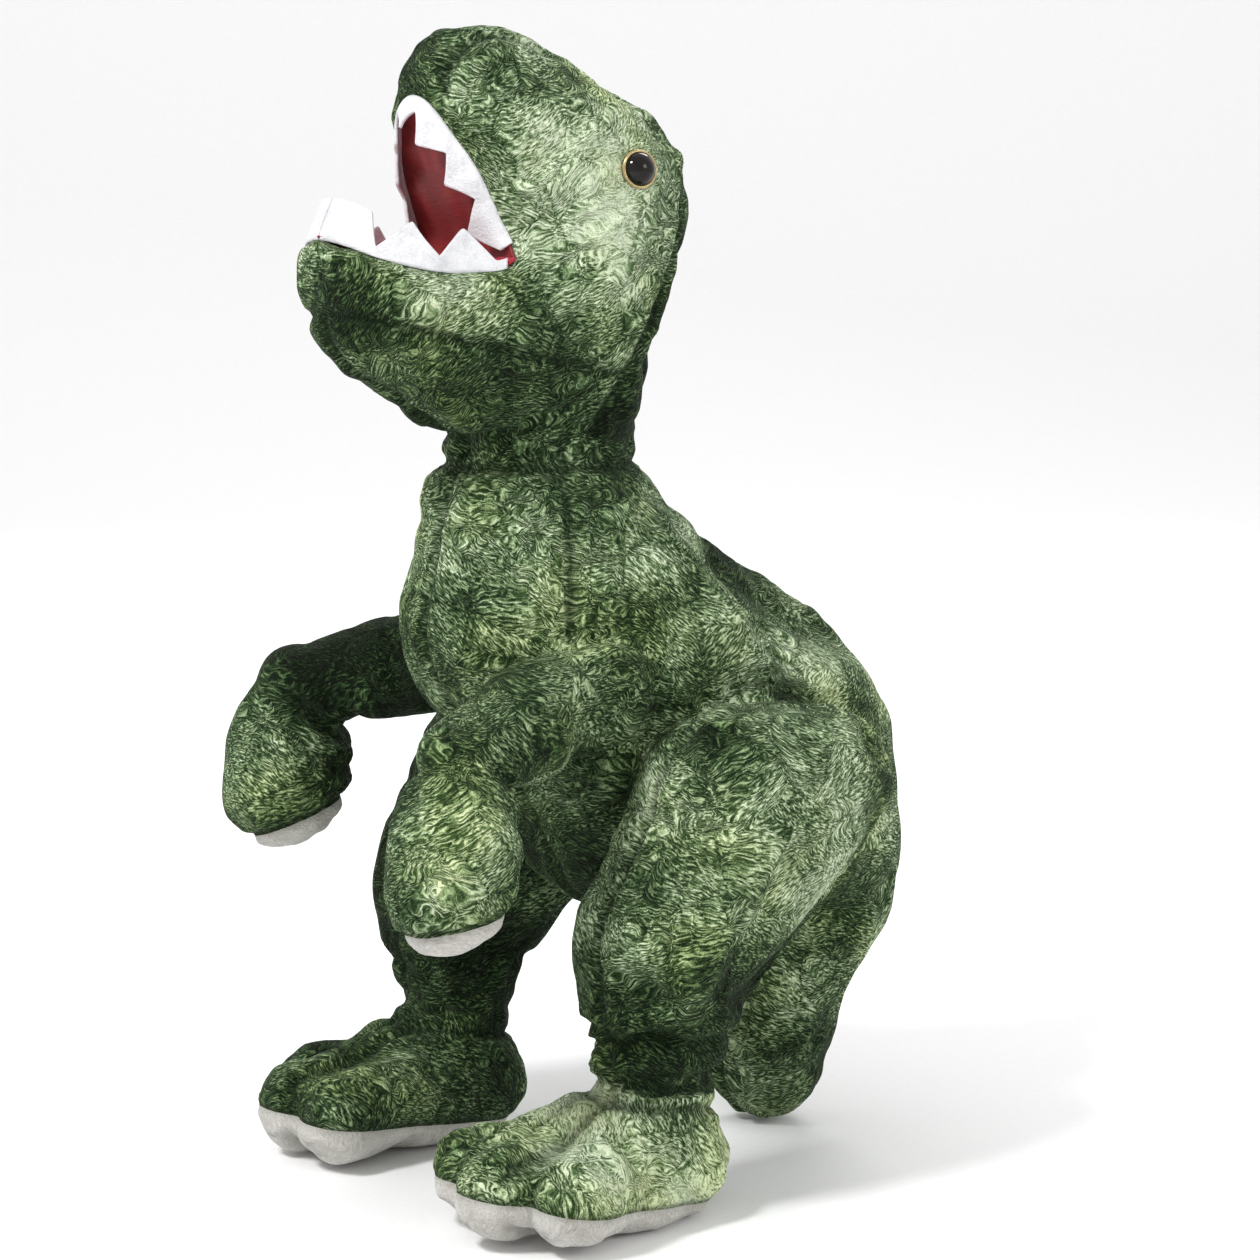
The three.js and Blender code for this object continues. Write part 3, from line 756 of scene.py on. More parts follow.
def reach(p, line, seed, edges, allowed):
    """The connected points beyond a line's start that join up with the point nearest the seed."""
    inside = (along_line(p, line) > 0) & allowed
    away = np.linalg.norm(p - np.array(seed, float), axis=1)
    away[~inside] = 1e9
    found = np.zeros(len(p), bool)
    found[np.argmin(away)] = True
    both = edges[inside[edges[:, 0]] & inside[edges[:, 1]]]
    while True:
        a, b = found[both[:, 0]], found[both[:, 1]]
        grow = a != b
        if not grow.any():
            return found
        found[both[grow].ravel()] = True


def take(source, name, chosen):
    """A new piece from some of the skin's faces, with its stored values."""
    mesh = source.data
    used, index = np.unique(quads_of(mesh)[chosen], return_inverse=True)
    piece = mesh_object(name, coords(mesh)[used], index.reshape(-1, 4))
    for attribute in ("base", "seam", "tone", "nap_across", "nap_along"):
        store(piece.data, attribute, read(mesh, attribute)[used])
    return piece


def cut_up(source):
    """The pieces of the skin cut off at the joints, and the torso that is left."""
    mesh = source.data
    p = pattern(coords(mesh))
    edges = np.zeros(len(mesh.edges) * 2, int)
    mesh.edges.foreach_get("vertices", edges)
    edges = edges.reshape(-1, 2)
    quads = quads_of(mesh)
    owner = np.full(len(quads), "torso", dtype="<U20")
    taken = {}
    for name, (line, seed) in BENDS.items():
        if seed is None:
            continue
        allowed = np.ones(len(p), bool)
        for parent, child in (("leg", "foot"), ("upper_arm", "forearm")):
            if name.startswith(child):
                allowed = taken[name.replace(child, parent)]
        taken[name] = reach(p, line, seed, edges, allowed)
        touched = taken[name][quads].any(axis=1)
        owner[touched] = name
        log(f"{name}: {touched.sum()} faces")
    return {name: take(source, f"{name}_skin", owner == name) for name in np.unique(owner)}


pieces = cut_up(skin)
bpy.data.objects.remove(skin)


def part_off(piece, name, point, normal):
    """Cuts a piece along a plane; what lies beyond it becomes a new piece."""
    near = bmesh.new()
    near.from_mesh(piece.data)
    co, no = Vector(row(point)), Vector(unit(normal))
    everything = near.verts[:] + near.edges[:] + near.faces[:]
    bmesh.ops.bisect_plane(near, geom=everything, dist=2e-5, plane_co=co, plane_no=no)
    far = near.copy()
    for half, sign in ((near, 1), (far, -1)):
        gone = [f for f in half.faces if (f.calc_center_median() - co).dot(no) * sign > 0]
        bmesh.ops.delete(half, geom=gone, context="FACES")
    mesh = bpy.data.meshes.new(name)
    far.to_mesh(mesh)
    near.to_mesh(piece.data)
    near.free()
    far.free()
    return place(name, mesh)


for name, side in SIDES.items():
    foot, forearm = pieces[f"foot_{name}"], pieces[f"forearm_{name}"]
    sole_point, sole_up = SOLE_SEAM
    pad_point = np.array(HAND[side], float) + PAD_SEAM
    pieces[f"sole_{name}"] = part_off(foot, f"sole_{name}_nap", sole_point, -np.array(sole_up, float))
    pieces[f"pad_{name}"] = part_off(forearm, f"paw_pad_{name}_nap", pad_point, PAD_WAY[side])
log("pieces cut")

# ---------------------------------------------------------------- mouth lining
def onto_gape(p, lift):
    """Points moved out of the rounded corner of the mouth onto its surface."""
    for _ in range(3):
        g = gape_form(p)
        slope = np.stack([gape_form(p + np.eye(3)[n] * 0.4) - g for n in range(3)], 1)
        slope /= np.linalg.norm(slope, axis=1)[:, None] + 1e-9
        p = p - np.maximum(g + lift, 0)[:, None] * slope
    return p


def lip_outline(along, inset, steps=60, start=1.0):
    """Half widths of the head across a mouth plane, from the corner of the mouth to the front."""
    along = unit(along)
    origin = np.array(CORNER, float)
    far_low, far_high = 20.0, 120.0
    for _ in range(30):
        middle = (far_low + far_high) / 2
        if head_solid((origin + along * middle)[None])[0] < -inset:
            far_low = middle
        else:
            far_high = middle
    v = start + (far_low - start) * np.sin(np.linspace(0, math.pi / 2, steps))
    centre = origin + v[:, None] * along
    if along[2] < 0.5:
        centre[:, 2] -= floor_sag(centre[:, 1])
    low, high = np.zeros(steps), np.full(steps, 70.0)
    for _ in range(24):
        middle = (low + high) / 2
        inside = head_solid(centre + np.stack([middle, 0 * middle, 0 * middle], 1)) < -inset
        low, high = np.where(inside, middle, low), np.where(inside, high, middle)
    return v, low, centre


def felted(name, grid, thick, flip=False):
    """A thick sheet from a grid of points in pattern millimetres."""
    rows, columns = grid.shape[:2]
    number = np.arange(rows * columns).reshape(rows, columns)
    ring = [number[:-1, :-1], number[:-1, 1:], number[1:, 1:], number[1:, :-1]]
    quads = np.stack(ring[:1] + ring[:0:-1] if flip else ring, -1).reshape(-1, 4)
    points = grid.reshape(-1, 3)
    sheet = mesh_object(name, row(points), quads)
    store(sheet.data, "base", points)
    thickness = sheet.modifiers.new("thickness", "SOLIDIFY")
    thickness.thickness = thick / 1000
    thickness.offset = 0
    return sheet


def lining(name, along, normal, inset, lift, crown):
    """A sheet that fills the lip outline, a little crowned, sewn in along its edge."""
    v, half, centre = lip_outline(along, inset)
    across = np.linspace(-1, 1, 61)
    grid = np.repeat(centre[:, None], len(across), 1)
    grid[:, :, 0] = half[:, None] * across[None]
    edge = (1 - across[None] ** 2) * np.clip(half / half.max(), 0, 1)[:, None]
    ripple = waves(grid.reshape(-1, 3), 21, 16).reshape(len(v), -1) * 0.35
    grid = grid + unit(normal) * (lift + (crown + ripple) * edge)[..., None]
    grid = onto_gape(grid.reshape(-1, 3), lift).reshape(grid.shape)
    sheet = felted(name, grid, 0.8)
    width = 2 * half.max() / 1000
    length = v[-1] / 1000
    area = float(np.trapz(2 * half, v)) / 1e6
    return sheet, (width, length), area


def teeth_strip(name, along, normal, inset, lean, root, height, centres, half_base, flat=None, thick=1.3):
    """A strip of felt that follows the lips, cut into teeth along its free edge."""
    v, half, centre = lip_outline(along, inset, 160, 9.0)
    left = centre + np.stack([half, 0 * v, 0 * v], 1)
    right = centre - np.stack([half, 0 * v, 0 * v], 1)
    path = onto_gape(np.concatenate([left, right[::-1][1:]]), 0.3)
    step = np.linalg.norm(np.diff(path, axis=0), axis=1)
    run = np.concatenate([[0], np.cumsum(step)])
    total = run[-1]
    count = int(total / 0.7)
    s = np.linspace(0, total, count)
    at = np.stack([np.interp(s, run, path[:, n]) for n in range(3)], 1)
    tangent = np.gradient(at, s, axis=0)
    tangent /= np.linalg.norm(tangent, axis=1)[:, None]
    up = unit(normal)
    inward = np.cross(up, tangent)
    middle = centre.mean(0)
    inward *= np.sign(((middle - at) * inward).sum(1))[:, None]
    kernel = np.ones(15) / 15
    for _ in range(3):
        padded = [np.pad(inward[:, n], 7, mode="edge") for n in range(3)]
        inward = np.stack([np.convolve(line, kernel, "valid") for line in padded], 1)
        inward /= np.linalg.norm(inward, axis=1)[:, None]
    share = s / total
    rise = np.zeros(count)
    for where, base_half in zip(centres, half_base):
        tooth = 1 - np.abs(s - where * total) / base_half
        tooth = np.where(tooth > 0.93, 0.93 + (tooth - 0.93) * 0.45, tooth)
        rise = np.maximum(rise, tooth)
    if flat:
        low, high = flat
        rise = np.maximum(rise, np.clip(np.minimum(share - low, high - share) * 40, 0, 0.92))
    rise = np.clip(rise, 0, 1)
    tall = root + height * rise
    levels = 13
    u = np.linspace(0, 1, levels)
    tilt = np.radians(lean) * np.clip(tall[:, None] * u[None] / 6, 0, 1) ** 0.7
    tilt = tilt + 0.10 * waves(at, 31, 18)[:, None] * u[None]
    ds = tall[:, None] / (levels - 1)
    go = np.cos(tilt)[..., None] * up + np.sin(tilt)[..., None] * inward[:, None]
    steps = np.concatenate([np.zeros((count, 1, 3)), go[:, 1:] * ds[..., None]], 1)
    grid = at[:, None] + np.cumsum(steps, 1) - up * 0.8
    strip = felted(name, grid, thick, flip=True)
    area = float(np.trapz(tall, s)) / 1e6
    return strip, (total / 1000, (root + height) / 1000), area


palate, palate_flat, palate_area = lining("palate_satin", ROOF_ALONG, ROOF, 1.6, 0.5, 0.6)
tongue, tongue_flat, tongue_area = lining("mouth_floor_plush", FLOOR_ALONG, FLOOR_UP, 1.6, 0.6, 2.2)
upper_teeth, upper_flat, upper_area = teeth_strip(
    "upper_felt_teeth", ROOF_ALONG, ROOF, 1.6, 46, 2.6, 10.6,
    (0.075, 0.225, 0.370, 0.5, 0.630, 0.775, 0.925), (13, 13.5, 13.5, 9.5, 13.5, 13.5, 13))
lower_teeth, lower_flat, lower_area = teeth_strip(
    "lower_felt_teeth", FLOOR_ALONG, FLOOR_UP, 1.8, 16, 3.6, 13.0,
    (0.11, 0.25, 0.75, 0.89), (12, 12.5, 12.5, 12), flat=(0.335, 0.665))
log("mouth")


# ---------------------------------------------------------------- eyes
def turned(name, profile, sides=64):
    """A closed turned piece about the eye's own axis."""
    points, quads = [], []
    rows = len(profile)
    for i in range(sides):
        a = 2 * math.pi * i / sides
        points += [(r * math.cos(a), r * math.sin(a), h) for r, h in profile]
    closed = profile[0][0] > 0
    for i in range(sides):
        j = (i + 1) % sides
        for k in range(rows if closed else rows - 1):
            m = (k + 1) % rows
            quads.append((i * rows + k, j * rows + k, j * rows + m, i * rows + m))
    made = mesh_object(name, np.array(points) / 1000, quads)
    work = bmesh.new()
    work.from_mesh(made.data)
    bmesh.ops.remove_doubles(work, verts=work.verts[:], dist=1e-6)
    bmesh.ops.recalc_face_normals(work, faces=work.faces[:])
    work.to_mesh(made.data)
    work.free()
    return made


def dome(radius, height, low, steps=14):
    """Profile points over a cap, from its edge to its top."""
    ball = (radius**2 + height**2) / (2 * height)
    top = math.asin(min(1, radius / ball))
    angles = [top * (1 - t / steps) for t in range(steps + 1)]
    return [(ball * math.sin(a), low + ball * math.cos(a) - ball + height) for a in angles]


def place_eye(piece, side):
    axis = Vector(eye_axis(side))
    turn = Vector((0, 0, 1)).rotation_difference(axis).to_matrix().to_4x4()
    turn.translation = Vector(row(eye_centre(side)))
    piece.data.transform(turn)


EYES = {}
for name, side in SIDES.items():
    r = EYE_RADIUS
    ball_profile = [(0, -13.5), (1.8, -13.5), (1.8, 0.2), (r - 1.0, 0.2), (r - 0.75, 0.5)]
    ball_profile += dome(r - 0.75, 3.9, 1.0)
    rim_profile = [(r - 1.2, -0.2), (r + 0.1, -0.2), (r + 0.35, 0.1), (r + 0.35, 0.5), (r + 0.1, 0.95),
                   (r - 0.3, 1.15), (r - 0.65, 1.0), (r - 0.7, 0.5), (r - 1.2, 0.3)]
    washer_profile = [(2.1, -8.5), (7.2, -8.5), (7.4, -8.2), (7.4, -7.5), (7.2, -7.2), (2.1, -7.2)]
    EYES[name] = [turned(f"eye_{name}_gloss", ball_profile), turned(f"eye_{name}_gold_rim", rim_profile),
                  turned(f"eye_{name}_lock_washer", washer_profile)]
    for piece in EYES[name]:
        place_eye(piece, side)
log("eyes")


# ---------------------------------------------------------------- materials
class Nodes:
    """A small helper that adds and joins shader nodes."""

    def __init__(self, name):
        self.material = bpy.data.materials.new(name)
        self.material.use_nodes = True
        self.tree = self.material.node_tree
        self.shader = self.tree.nodes["Principled BSDF"]

    def add(self, kind, inputs=(), **settings):
        node = self.tree.nodes.new(kind)
        for key, value in settings.items():
            setattr(node, key, value)
        for key, value in dict(inputs).items():
            self.feed(node.inputs[key], value)
        return node

    def feed(self, socket, value):
        if isinstance(value, bpy.types.NodeSocket):
            self.tree.links.new(value, socket)
        else:
            socket.default_value = value

    def math(self, operation, a, b=0.0, c=0.0):
        return self.add("ShaderNodeMath", {0: a, 1: b, 2: c}, operation=operation).outputs[0]

    def vector(self, operation, a, b=(0, 0, 0), scale=1.0):
        node = self.add("ShaderNodeVectorMath", operation=operation)
        self.feed(node.inputs[0], a)
        if operation == "SCALE":
            self.feed(node.inputs["Scale"], scale)
        elif operation != "NORMALIZE":
            self.feed(node.inputs[1], b)
        return node.outputs["Value" if operation == "DOT_PRODUCT" else "Vector"]

    def noise(self, at, wavelength, detail=2.0, rough=0.5, colour=False):
        node = self.add("ShaderNodeTexNoise", {"Vector": at, "Scale": 1 / wavelength, "Detail": detail,
                                               "Roughness": rough})
        return node.outputs["Color" if colour else "Fac"]

    def ramp(self, value, stops):
        node = self.add("ShaderNodeValToRGB", {"Fac": value})
        keys = node.color_ramp.elements
        while len(keys) < len(stops):
            keys.new(0.5)
        for key, (place, colour) in zip(keys, stops):
            key.position = place
            key.color = (*colour, 1)
        return node.outputs["Color"]

    def mix(self, factor, a, b, blend="MIX"):
        node = self.add("ShaderNodeMix", data_type="RGBA", blend_type=blend)
        self.feed(node.inputs[0], factor)
        for socket, value in ((node.inputs[6], a), (node.inputs[7], b)):
            self.feed(socket, (*value, 1) if isinstance(value, tuple) and len(value) == 3 else value)
        return node.outputs[2]

    def span(self, value, low, high, to_low=0.0, to_high=1.0):
        node = self.add("ShaderNodeMapRange", {"Value": value, "From Min": low, "From Max": high,
                                               "To Min": to_low, "To Max": to_high})
        return node.outputs["Result"]

    def bump(self, height, distance, strength=1.0, normal=None):
        node = self.add("ShaderNodeBump", {"Height": height, "Distance": distance, "Strength": strength})
        if normal is not None:
            self.feed(node.inputs["Normal"], normal)
        return node.outputs["Normal"]

    def base_point(self):
        """The cloth's own place in millimetres, which stays with it as it bends."""
        return self.add("ShaderNodeAttribute", attribute_name="base").outputs["Vector"]

    def stored(self, name, output="Fac"):
        return self.add("ShaderNodeAttribute", attribute_name=name).outputs[output]

    def finish(self, colour=None, normal=None, roughness=None, **fixed):
        for socket, value in (("Base Color", colour), ("Normal", normal), ("Roughness", roughness)):
            if value is not None:
                self.feed(self.shader.inputs[socket], value)
        for key, value in fixed.items():
            self.shader.inputs[key.replace("_", " ")].default_value = value
        return self.material


def pile(n, at, patch, pitch, length, swing, seed=0.0):
    """Short pile laid over in broken rows, whose direction changes a little from patch to patch."""
    drift = n.vector("SUBTRACT", n.noise(at, patch, 1.0, 0.5, True), (0.5, 0.5, 0.5))
    warped = n.vector("ADD", at, n.vector("SCALE", drift, scale=patch * 0.5))
    cells = n.add("ShaderNodeTexVoronoi", {"Vector": warped, "Scale": 1 / patch, "Randomness": 0.9})
    local = n.vector("SUBTRACT", at, cells.outputs["Position"])
    shuffle = n.add("ShaderNodeSeparateXYZ", {"Vector": cells.outputs["Color"]})
    across = n.vector("DOT_PRODUCT", local, n.stored("nap_across", "Vector"))
    along = n.vector("DOT_PRODUCT", local, n.stored("nap_along", "Vector"))
    angle = n.math("MULTIPLY_ADD", shuffle.outputs["Z"], swing, -swing / 2)
    c, s = n.math("COSINE", angle), n.math("SINE", angle)
    u = n.math("ADD", n.math("MULTIPLY", across, c), n.math("MULTIPLY", along, s))
    v = n.math("SUBTRACT", n.math("MULTIPLY", along, c), n.math("MULTIPLY", across, s))
    sway = n.add("ShaderNodeSeparateXYZ", {"Vector": n.noise(at, 6.0, 1.0, 0.5, True)})
    v = n.math("MULTIPLY_ADD", sway.outputs["X"], 1.7, v)
    w = n.math("MULTIPLY_ADD", shuffle.outputs["X"], 60.0, seed)
    ripple_at = n.add("ShaderNodeCombineXYZ", {
        "X": n.math("DIVIDE", u, length), "Y": n.math("DIVIDE", v, pitch), "Z": w}).outputs["Vector"]
    ripple = n.add("ShaderNodeTexNoise", {"Vector": ripple_at, "Scale": 1.0, "Detail": 1.0, "Roughness": 0.4,
                                          "Distortion": 0.3}).outputs["Fac"]
    return ripple, shuffle.outputs["Y"], warped


PATCH = 21.0


def plush():
    """Dyed green pile in rows, with the embossed patches' darker and lower edges, and painted shade and
    painted highlight from the pile's ridges, the tone attribute and the seams.
    """
    n = Nodes("green_plush")
    at = n.base_point()
    ripple, each, warped = pile(n, at, PATCH, 0.6, 2.2, 1.4)
    ridge = n.span(ripple, 0.34, 0.66)
    edges = n.add("ShaderNodeTexVoronoi", {"Vector": warped, "Scale": 1 / PATCH, "Randomness": 0.9},
                  feature="DISTANCE_TO_EDGE")
    middle = n.span(edges.outputs["Distance"], 0.0, 0.07)
    blotch = n.noise(at, 30.0, 3.0, 0.55)
    fine = n.noise(at, 7.0, 2.0, 0.6)
    fibre = n.noise(at, 0.6, 1.0, 0.6)
    # The tone attribute brings the dye's mottling and painted light and shade. In the colour, the ridge term
    # is painted shade in the pile's valleys and painted highlight on its ridge tops.
    level = n.stored("tone")
    for value, centre, weight in (
        (blotch, 0.5, 0.85), (fine, 0.5, 0.36), (middle, 0.85, 0.13), (each, 0.5, 0.07),
        (ridge, 0.5, 0.52), (fibre, 0.5, 0.50),
    ):
        level = n.math("ADD", level, n.math("MULTIPLY", n.math("SUBTRACT", value, centre), weight))
    colour = n.ramp(level, [
        (0.00, (0.002, 0.005, 0.001)), (0.22, (0.007, 0.018, 0.005)), (0.40, (0.026, 0.053, 0.017)),
        (0.56, (0.078, 0.130, 0.054)), (0.74, (0.245, 0.335, 0.175)), (1.00, (0.640, 0.730, 0.520)),
    ])
    hue = n.noise(at, 38.0, 1.0, 0.5)
    colour = n.mix(n.span(hue, 0.45, 0.65, 0.0, 0.5), colour, (1.0, 0.98, 0.60), "MULTIPLY")
    # Painted shade in the seam grooves and fold creases: a dark green mixed in by the seam value.
    seam = n.stored("seam")
    colour = n.mix(n.math("MULTIPLY", seam, 0.72), colour, (0.006, 0.014, 0.005))
    height = n.math("MULTIPLY", ridge, 0.85)
    for value, weight in ((fibre, 0.5), (middle, 0.6), (blotch, 1.5)):
        height = n.math("ADD", height, n.math("MULTIPLY", value, weight))
    normal = n.bump(height, 0.001, 1.0)
    return n.finish(colour, normal, Roughness=0.85, Specular_IOR_Level=0.12, Sheen_Weight=0.06,
                    Sheen_Roughness=0.35, Sheen_Tint=(0.72, 0.95, 0.60, 1))


def pale_nap():
    n = Nodes("pale_nap")
    at = n.base_point()
    ripple, _, _ = pile(n, at, 16.0, 0.5, 1.5, 0.8, 7.0)
    fibre = n.noise(at, 0.6, 2.0, 0.6)
    soil = n.noise(at, 12.0, 3.0, 0.6)
    # The ripple term is painted shade in the nap's valleys and painted highlight on its ridge tops.
    level = n.math("ADD", n.math("MULTIPLY", ripple, 0.55), n.math("MULTIPLY", soil, 0.45))
    colour = n.ramp(level, [
        (0.25, (0.30, 0.285, 0.255)), (0.5, (0.47, 0.455, 0.42)), (0.8, (0.66, 0.645, 0.61))])
    # Painted shade in the seam grooves.
    seam = n.stored("seam")
    colour = n.mix(n.math("MULTIPLY", seam, 0.45), colour, (0.13, 0.14, 0.10))
    normal = n.bump(n.math("ADD", ripple, n.math("MULTIPLY", fibre, 0.4)), 0.0006, 1.0)
    return n.finish(colour, normal, Roughness=0.95, Specular_IOR_Level=0.15, Sheen_Weight=0.3,
                    Sheen_Roughness=0.5)


def felt():
    n = Nodes("white_felt")
    at = n.base_point()
    fibre = n.noise(n.vector("MULTIPLY", at, (1.0, 1.0, 1.6)), 1.1, 5.0, 0.7)
    crease = n.noise(at, 7.0, 2.0, 0.55)
    # The crease term darkens the felt where its creases sink: painted shade.
    level = n.math("ADD", n.math("MULTIPLY", fibre, 0.5), n.math("MULTIPLY", crease, 0.5))
    colour = n.ramp(level, [(0.3, (0.50, 0.50, 0.53)), (0.50, (0.70, 0.70, 0.72)), (0.7, (0.82, 0.82, 0.83))])
    normal = n.bump(crease, 0.0012, 0.6)
    normal = n.bump(fibre, 0.00045, 1.0, normal)
    return n.finish(colour, normal, Roughness=0.93, Specular_IOR_Level=0.2, Sheen_Weight=0.2,
                    Sheen_Roughness=0.6)


def satin():
    n = Nodes("palate_satin")
    at = n.base_point()
    across = n.vector("MULTIPLY", at, (0.12, 1.0, 2.2))
    thread = n.noise(across, 0.8, 2.0, 0.6)
    pull = n.noise(n.vector("MULTIPLY", at, (0.25, 1.0, 1.0)), 5.0, 3.0, 0.6)
    cloud = n.noise(at, 16.0, 2.0, 0.5)
    colour = n.ramp(n.math("ADD", n.math("MULTIPLY", thread, 0.45), n.math("MULTIPLY", cloud, 0.55)), [
        (0.3, (0.105, 0.004, 0.005)), (0.5, (0.185, 0.008, 0.009)), (0.72, (0.27, 0.014, 0.016))])
    normal = n.bump(pull, 0.0009, 0.45)
    normal = n.bump(thread, 0.00018, 0.8, normal)
    return n.finish(colour, normal, Roughness=0.52, Specular_IOR_Level=0.35, Sheen_Weight=0.12,
                    Sheen_Roughness=0.4)


def red_plush():
    n = Nodes("red_plush")
    at = n.base_point()
    ripple = n.noise(at, 1.1, 2.0, 0.6)
    fibre = n.noise(at, 0.6, 2.0, 0.6)
    colour = n.ramp(ripple, [
        (0.3, (0.20, 0.010, 0.018)), (0.5, (0.36, 0.018, 0.034)), (0.72, (0.58, 0.055, 0.085))])
    normal = n.bump(n.math("ADD", ripple, n.math("MULTIPLY", fibre, 0.5)), 0.0006, 1.0)
    return n.finish(colour, normal, Roughness=0.85, Specular_IOR_Level=0.2, Sheen_Weight=0.45,
                    Sheen_Roughness=0.4, Sheen_Tint=(1, 0.55, 0.6, 1))


def own_point(n):
    """The object's own place in millimetres."""
    return n.vector("SCALE", n.add("ShaderNodeTexCoord").outputs["Object"], scale=1000.0)


def eye_gloss():
    n = Nodes("eye_black")
    at = own_point(n)
    depth = n.noise(at, 3.0, 2.0, 0.5)
    colour = n.ramp(depth, [(0.3, (0.004, 0.0035, 0.003)), (0.75, (0.014, 0.011, 0.008))])
    haze = n.span(n.noise(at, 1.4, 3.0, 0.6), 0.4, 0.8, 0.035, 0.075)
    return n.finish(colour, None, haze, Specular_IOR_Level=0.22, Coat_Weight=0.08, Coat_Roughness=0.02)


def gold():
    n = Nodes("eye_gold")
    at = own_point(n)
    worn = n.noise(at, 1.6, 4.0, 0.6)
    colour = n.ramp(worn, [(0.3, (0.26, 0.19, 0.08)), (0.6, (0.50, 0.39, 0.19)), (0.8, (0.72, 0.60, 0.34))])
    rough = n.span(worn, 0.3, 0.7, 0.38, 0.24)
    return n.finish(colour, n.bump(worn, 0.00008, 0.5), rough, Metallic=0.55)


def washer():
    n = Nodes("washer_plastic")
    at = own_point(n)
    flow = n.noise(at, 2.5, 3.0, 0.5)
    colour = n.ramp(flow, [(0.3, (0.66, 0.66, 0.63)), (0.7, (0.80, 0.80, 0.77))])
    return n.finish(colour, n.bump(flow, 0.00006, 0.5), n.span(flow, 0.3, 0.7, 0.42, 0.55))


def floor_paper():
    n = Nodes("floor_paper")
    grain = n.noise(own_point(n), 3.0, 4.0, 0.6)
    colour = n.ramp(grain, [(0.3, (0.90, 0.90, 0.90)), (0.7, (0.93, 0.93, 0.93))])
    return n.finish(colour, n.bump(grain, 0.00005, 0.4), Roughness=0.9, Specular_IOR_Level=0.1)


GREEN = plush()
PALE = pale_nap()
FELT = felt()
SATIN = satin()
RED = red_plush()
BLACK = eye_gloss()
GOLD = gold()
WASHER = washer()

# ---------------------------------------------------------------- materials, hidden model parts, and the small pieces that ride the toy's bodies

def dress(piece, material):
    piece.data.materials.clear()
    piece.data.materials.append(material)


def bend(piece):
    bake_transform(piece)


for name, piece in pieces.items():
    if name.startswith(("sole", "pad")):
        dress(piece, PALE)
    else:
        dress(piece, GREEN)

bend(pieces["torso"])
bend(pieces["head"])
bend(pieces["tail"])
panels = [f"{part}_panel_{side}" for part in ("chest", "side") for side in SIDES]
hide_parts("torso_stuffing", "neck_seam_band", *panels)
cheeks = [f"head_side_{side}" for side in SIDES]
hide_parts("head_stuffing", "head_top_gusset", "nape_panel", "chin_panel", *cheeks)
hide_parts("tail_stuffing", "tail_panel_left", "tail_panel_right")
for side in SIDES:
    bend(pieces[f"upper_arm_{side}"])
    bend(pieces[f"forearm_{side}"])
    bend(pieces[f"leg_{side}"])
    bend(pieces[f"foot_{side}"])
    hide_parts(f"upper_arm_{side}", f"upper_arm_stuffing_{side}")
    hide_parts(f"paw_{side}", f"paw_stuffing_{side}")
    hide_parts(f"leg_outer_{side}", f"leg_inner_{side}", f"leg_stuffing_{side}")
    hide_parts(f"foot_upper_{side}", f"foot_stuffing_{side}")
    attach(pieces[f"sole_{side}"], f"foot_{side}")
    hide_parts(f"sole_{side}")
    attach(pieces[f"pad_{side}"], f"forearm_{side}")
    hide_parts(f"paw_pad_{side}")

for piece, material, slot, node, flat, area in (
    (palate, SATIN, "palate_satin", "palate_lining", palate_flat, palate_area),
    (tongue, RED, "red_plush", "mouth_floor", tongue_flat, tongue_area),
    (upper_teeth, FELT, "white_felt", "upper_teeth", upper_flat, upper_area),
    (lower_teeth, FELT, "white_felt", "lower_teeth", lower_flat, lower_area),
):
    dress(piece, material)
    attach(piece, "head")
    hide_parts(node)

EYE_LOOKS = (
    (BLACK, "eye_black", "eye"), (GOLD, "eye_gold", "eye_rim"), (WASHER, "washer_plastic", "eye_washer"),
)
for side in SIDES:
    for piece, (material, slot, stem) in zip(EYES[side], EYE_LOOKS):
        dress(piece, material)
        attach(piece, "head")
        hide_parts(f"{stem}_{side}")


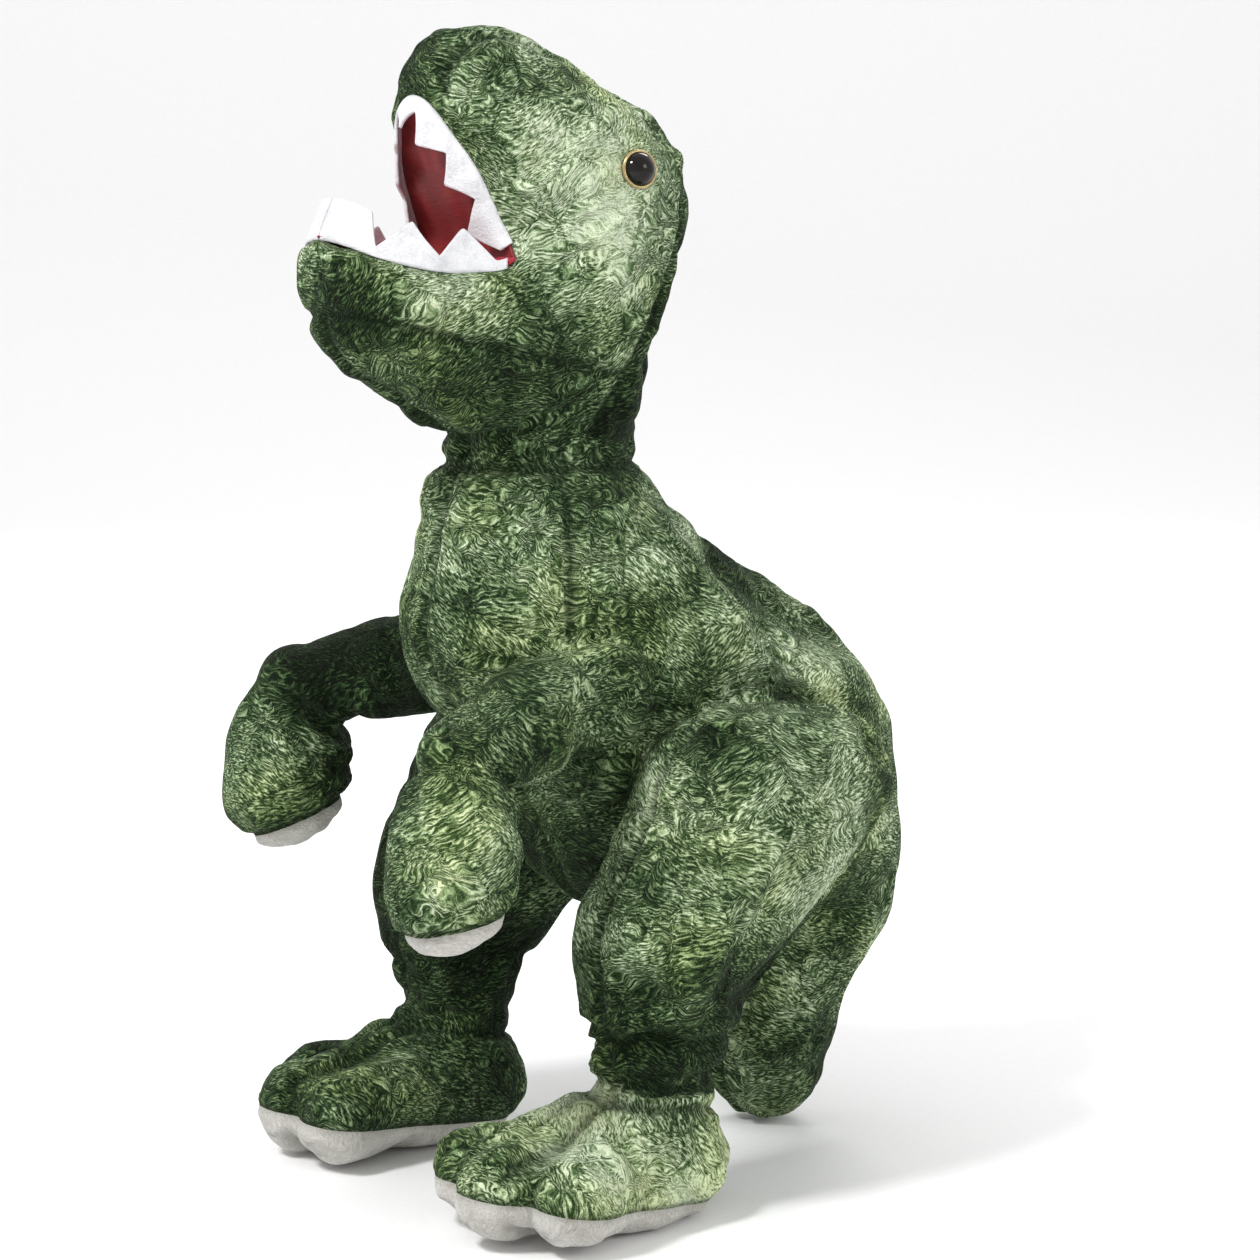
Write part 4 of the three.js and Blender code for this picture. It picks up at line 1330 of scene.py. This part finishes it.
# ---------------------------------------------------------------- floor, light and camera
def sweep_floor():
    """A pale floor that curves up far behind the toy."""
    reach_m, rise, radius = 3.2, 2.6, 1.0
    profile = [(-reach_m, 0.0), (reach_m - radius, 0.0)]
    profile += [(reach_m - radius + radius * math.sin(a), radius - radius * math.cos(a))
                for a in np.linspace(0.05, math.pi / 2, 24)]
    profile += [(reach_m, rise)]
    xs = np.linspace(-4, 4, 9)
    points = [(x, y, z) for y, z in profile for x in xs]
    wide = len(xs)
    quads = [(i * wide + j, i * wide + j + 1, (i + 1) * wide + j + 1, (i + 1) * wide + j)
             for i in range(len(profile) - 1) for j in range(wide - 1)]
    made = mesh_object("studio_floor", np.array(points), quads)
    made.rotation_euler = (0, 0, math.radians(52))
    made.data.materials.append(floor_paper())


sweep_floor()
scene = bpy.context.scene
world = bpy.data.worlds.new("studio")
world.use_nodes = True
world.node_tree.nodes["Background"].inputs["Color"].default_value = (1.0, 1.0, 1.0, 1)
world.node_tree.nodes["Background"].inputs["Strength"].default_value = 0.8
scene.world = world


def softbox(name, at, aim, width, energy):
    data = bpy.data.lights.new(name, "AREA")
    data.shape = "DISK"
    data.size = width
    data.energy = energy
    lamp = bpy.data.objects.new(name, data)
    lamp.location = at
    lamp.rotation_euler = (Vector(aim) - Vector(at)).to_track_quat("-Z", "Y").to_euler()
    scene.collection.objects.link(lamp)


softbox("key", (0.15, -1.55, 1.95), (0, 0, 0.24), 0.5, 40)
softbox("fill", (1.9, 0.6, 1.1), (0, 0, 0.2), 0.8, 9)
softbox("back", (-1.0, 1.3, 1.6), (0, 0, 0.25), 0.9, 14)

CAMERA_AT = (0.9708, -0.7271, 0.380)
CAMERA_TILT, CAMERA_TURN = 81.80, 52.54
LENS_MM = 93.0286

lens = bpy.data.cameras.new("view")
lens.sensor_width = 36
lens.lens = LENS_MM
lens.clip_start, lens.clip_end = 0.05, 20
camera = bpy.data.objects.new("view", lens)
camera.location = CAMERA_AT
camera.rotation_euler = Euler((math.radians(CAMERA_TILT), 0, math.radians(CAMERA_TURN)))
scene.collection.objects.link(camera)
scene.camera = camera
scene.view_settings.view_transform = "Standard"

bpy.context.view_layer.update()
log("scene ready")
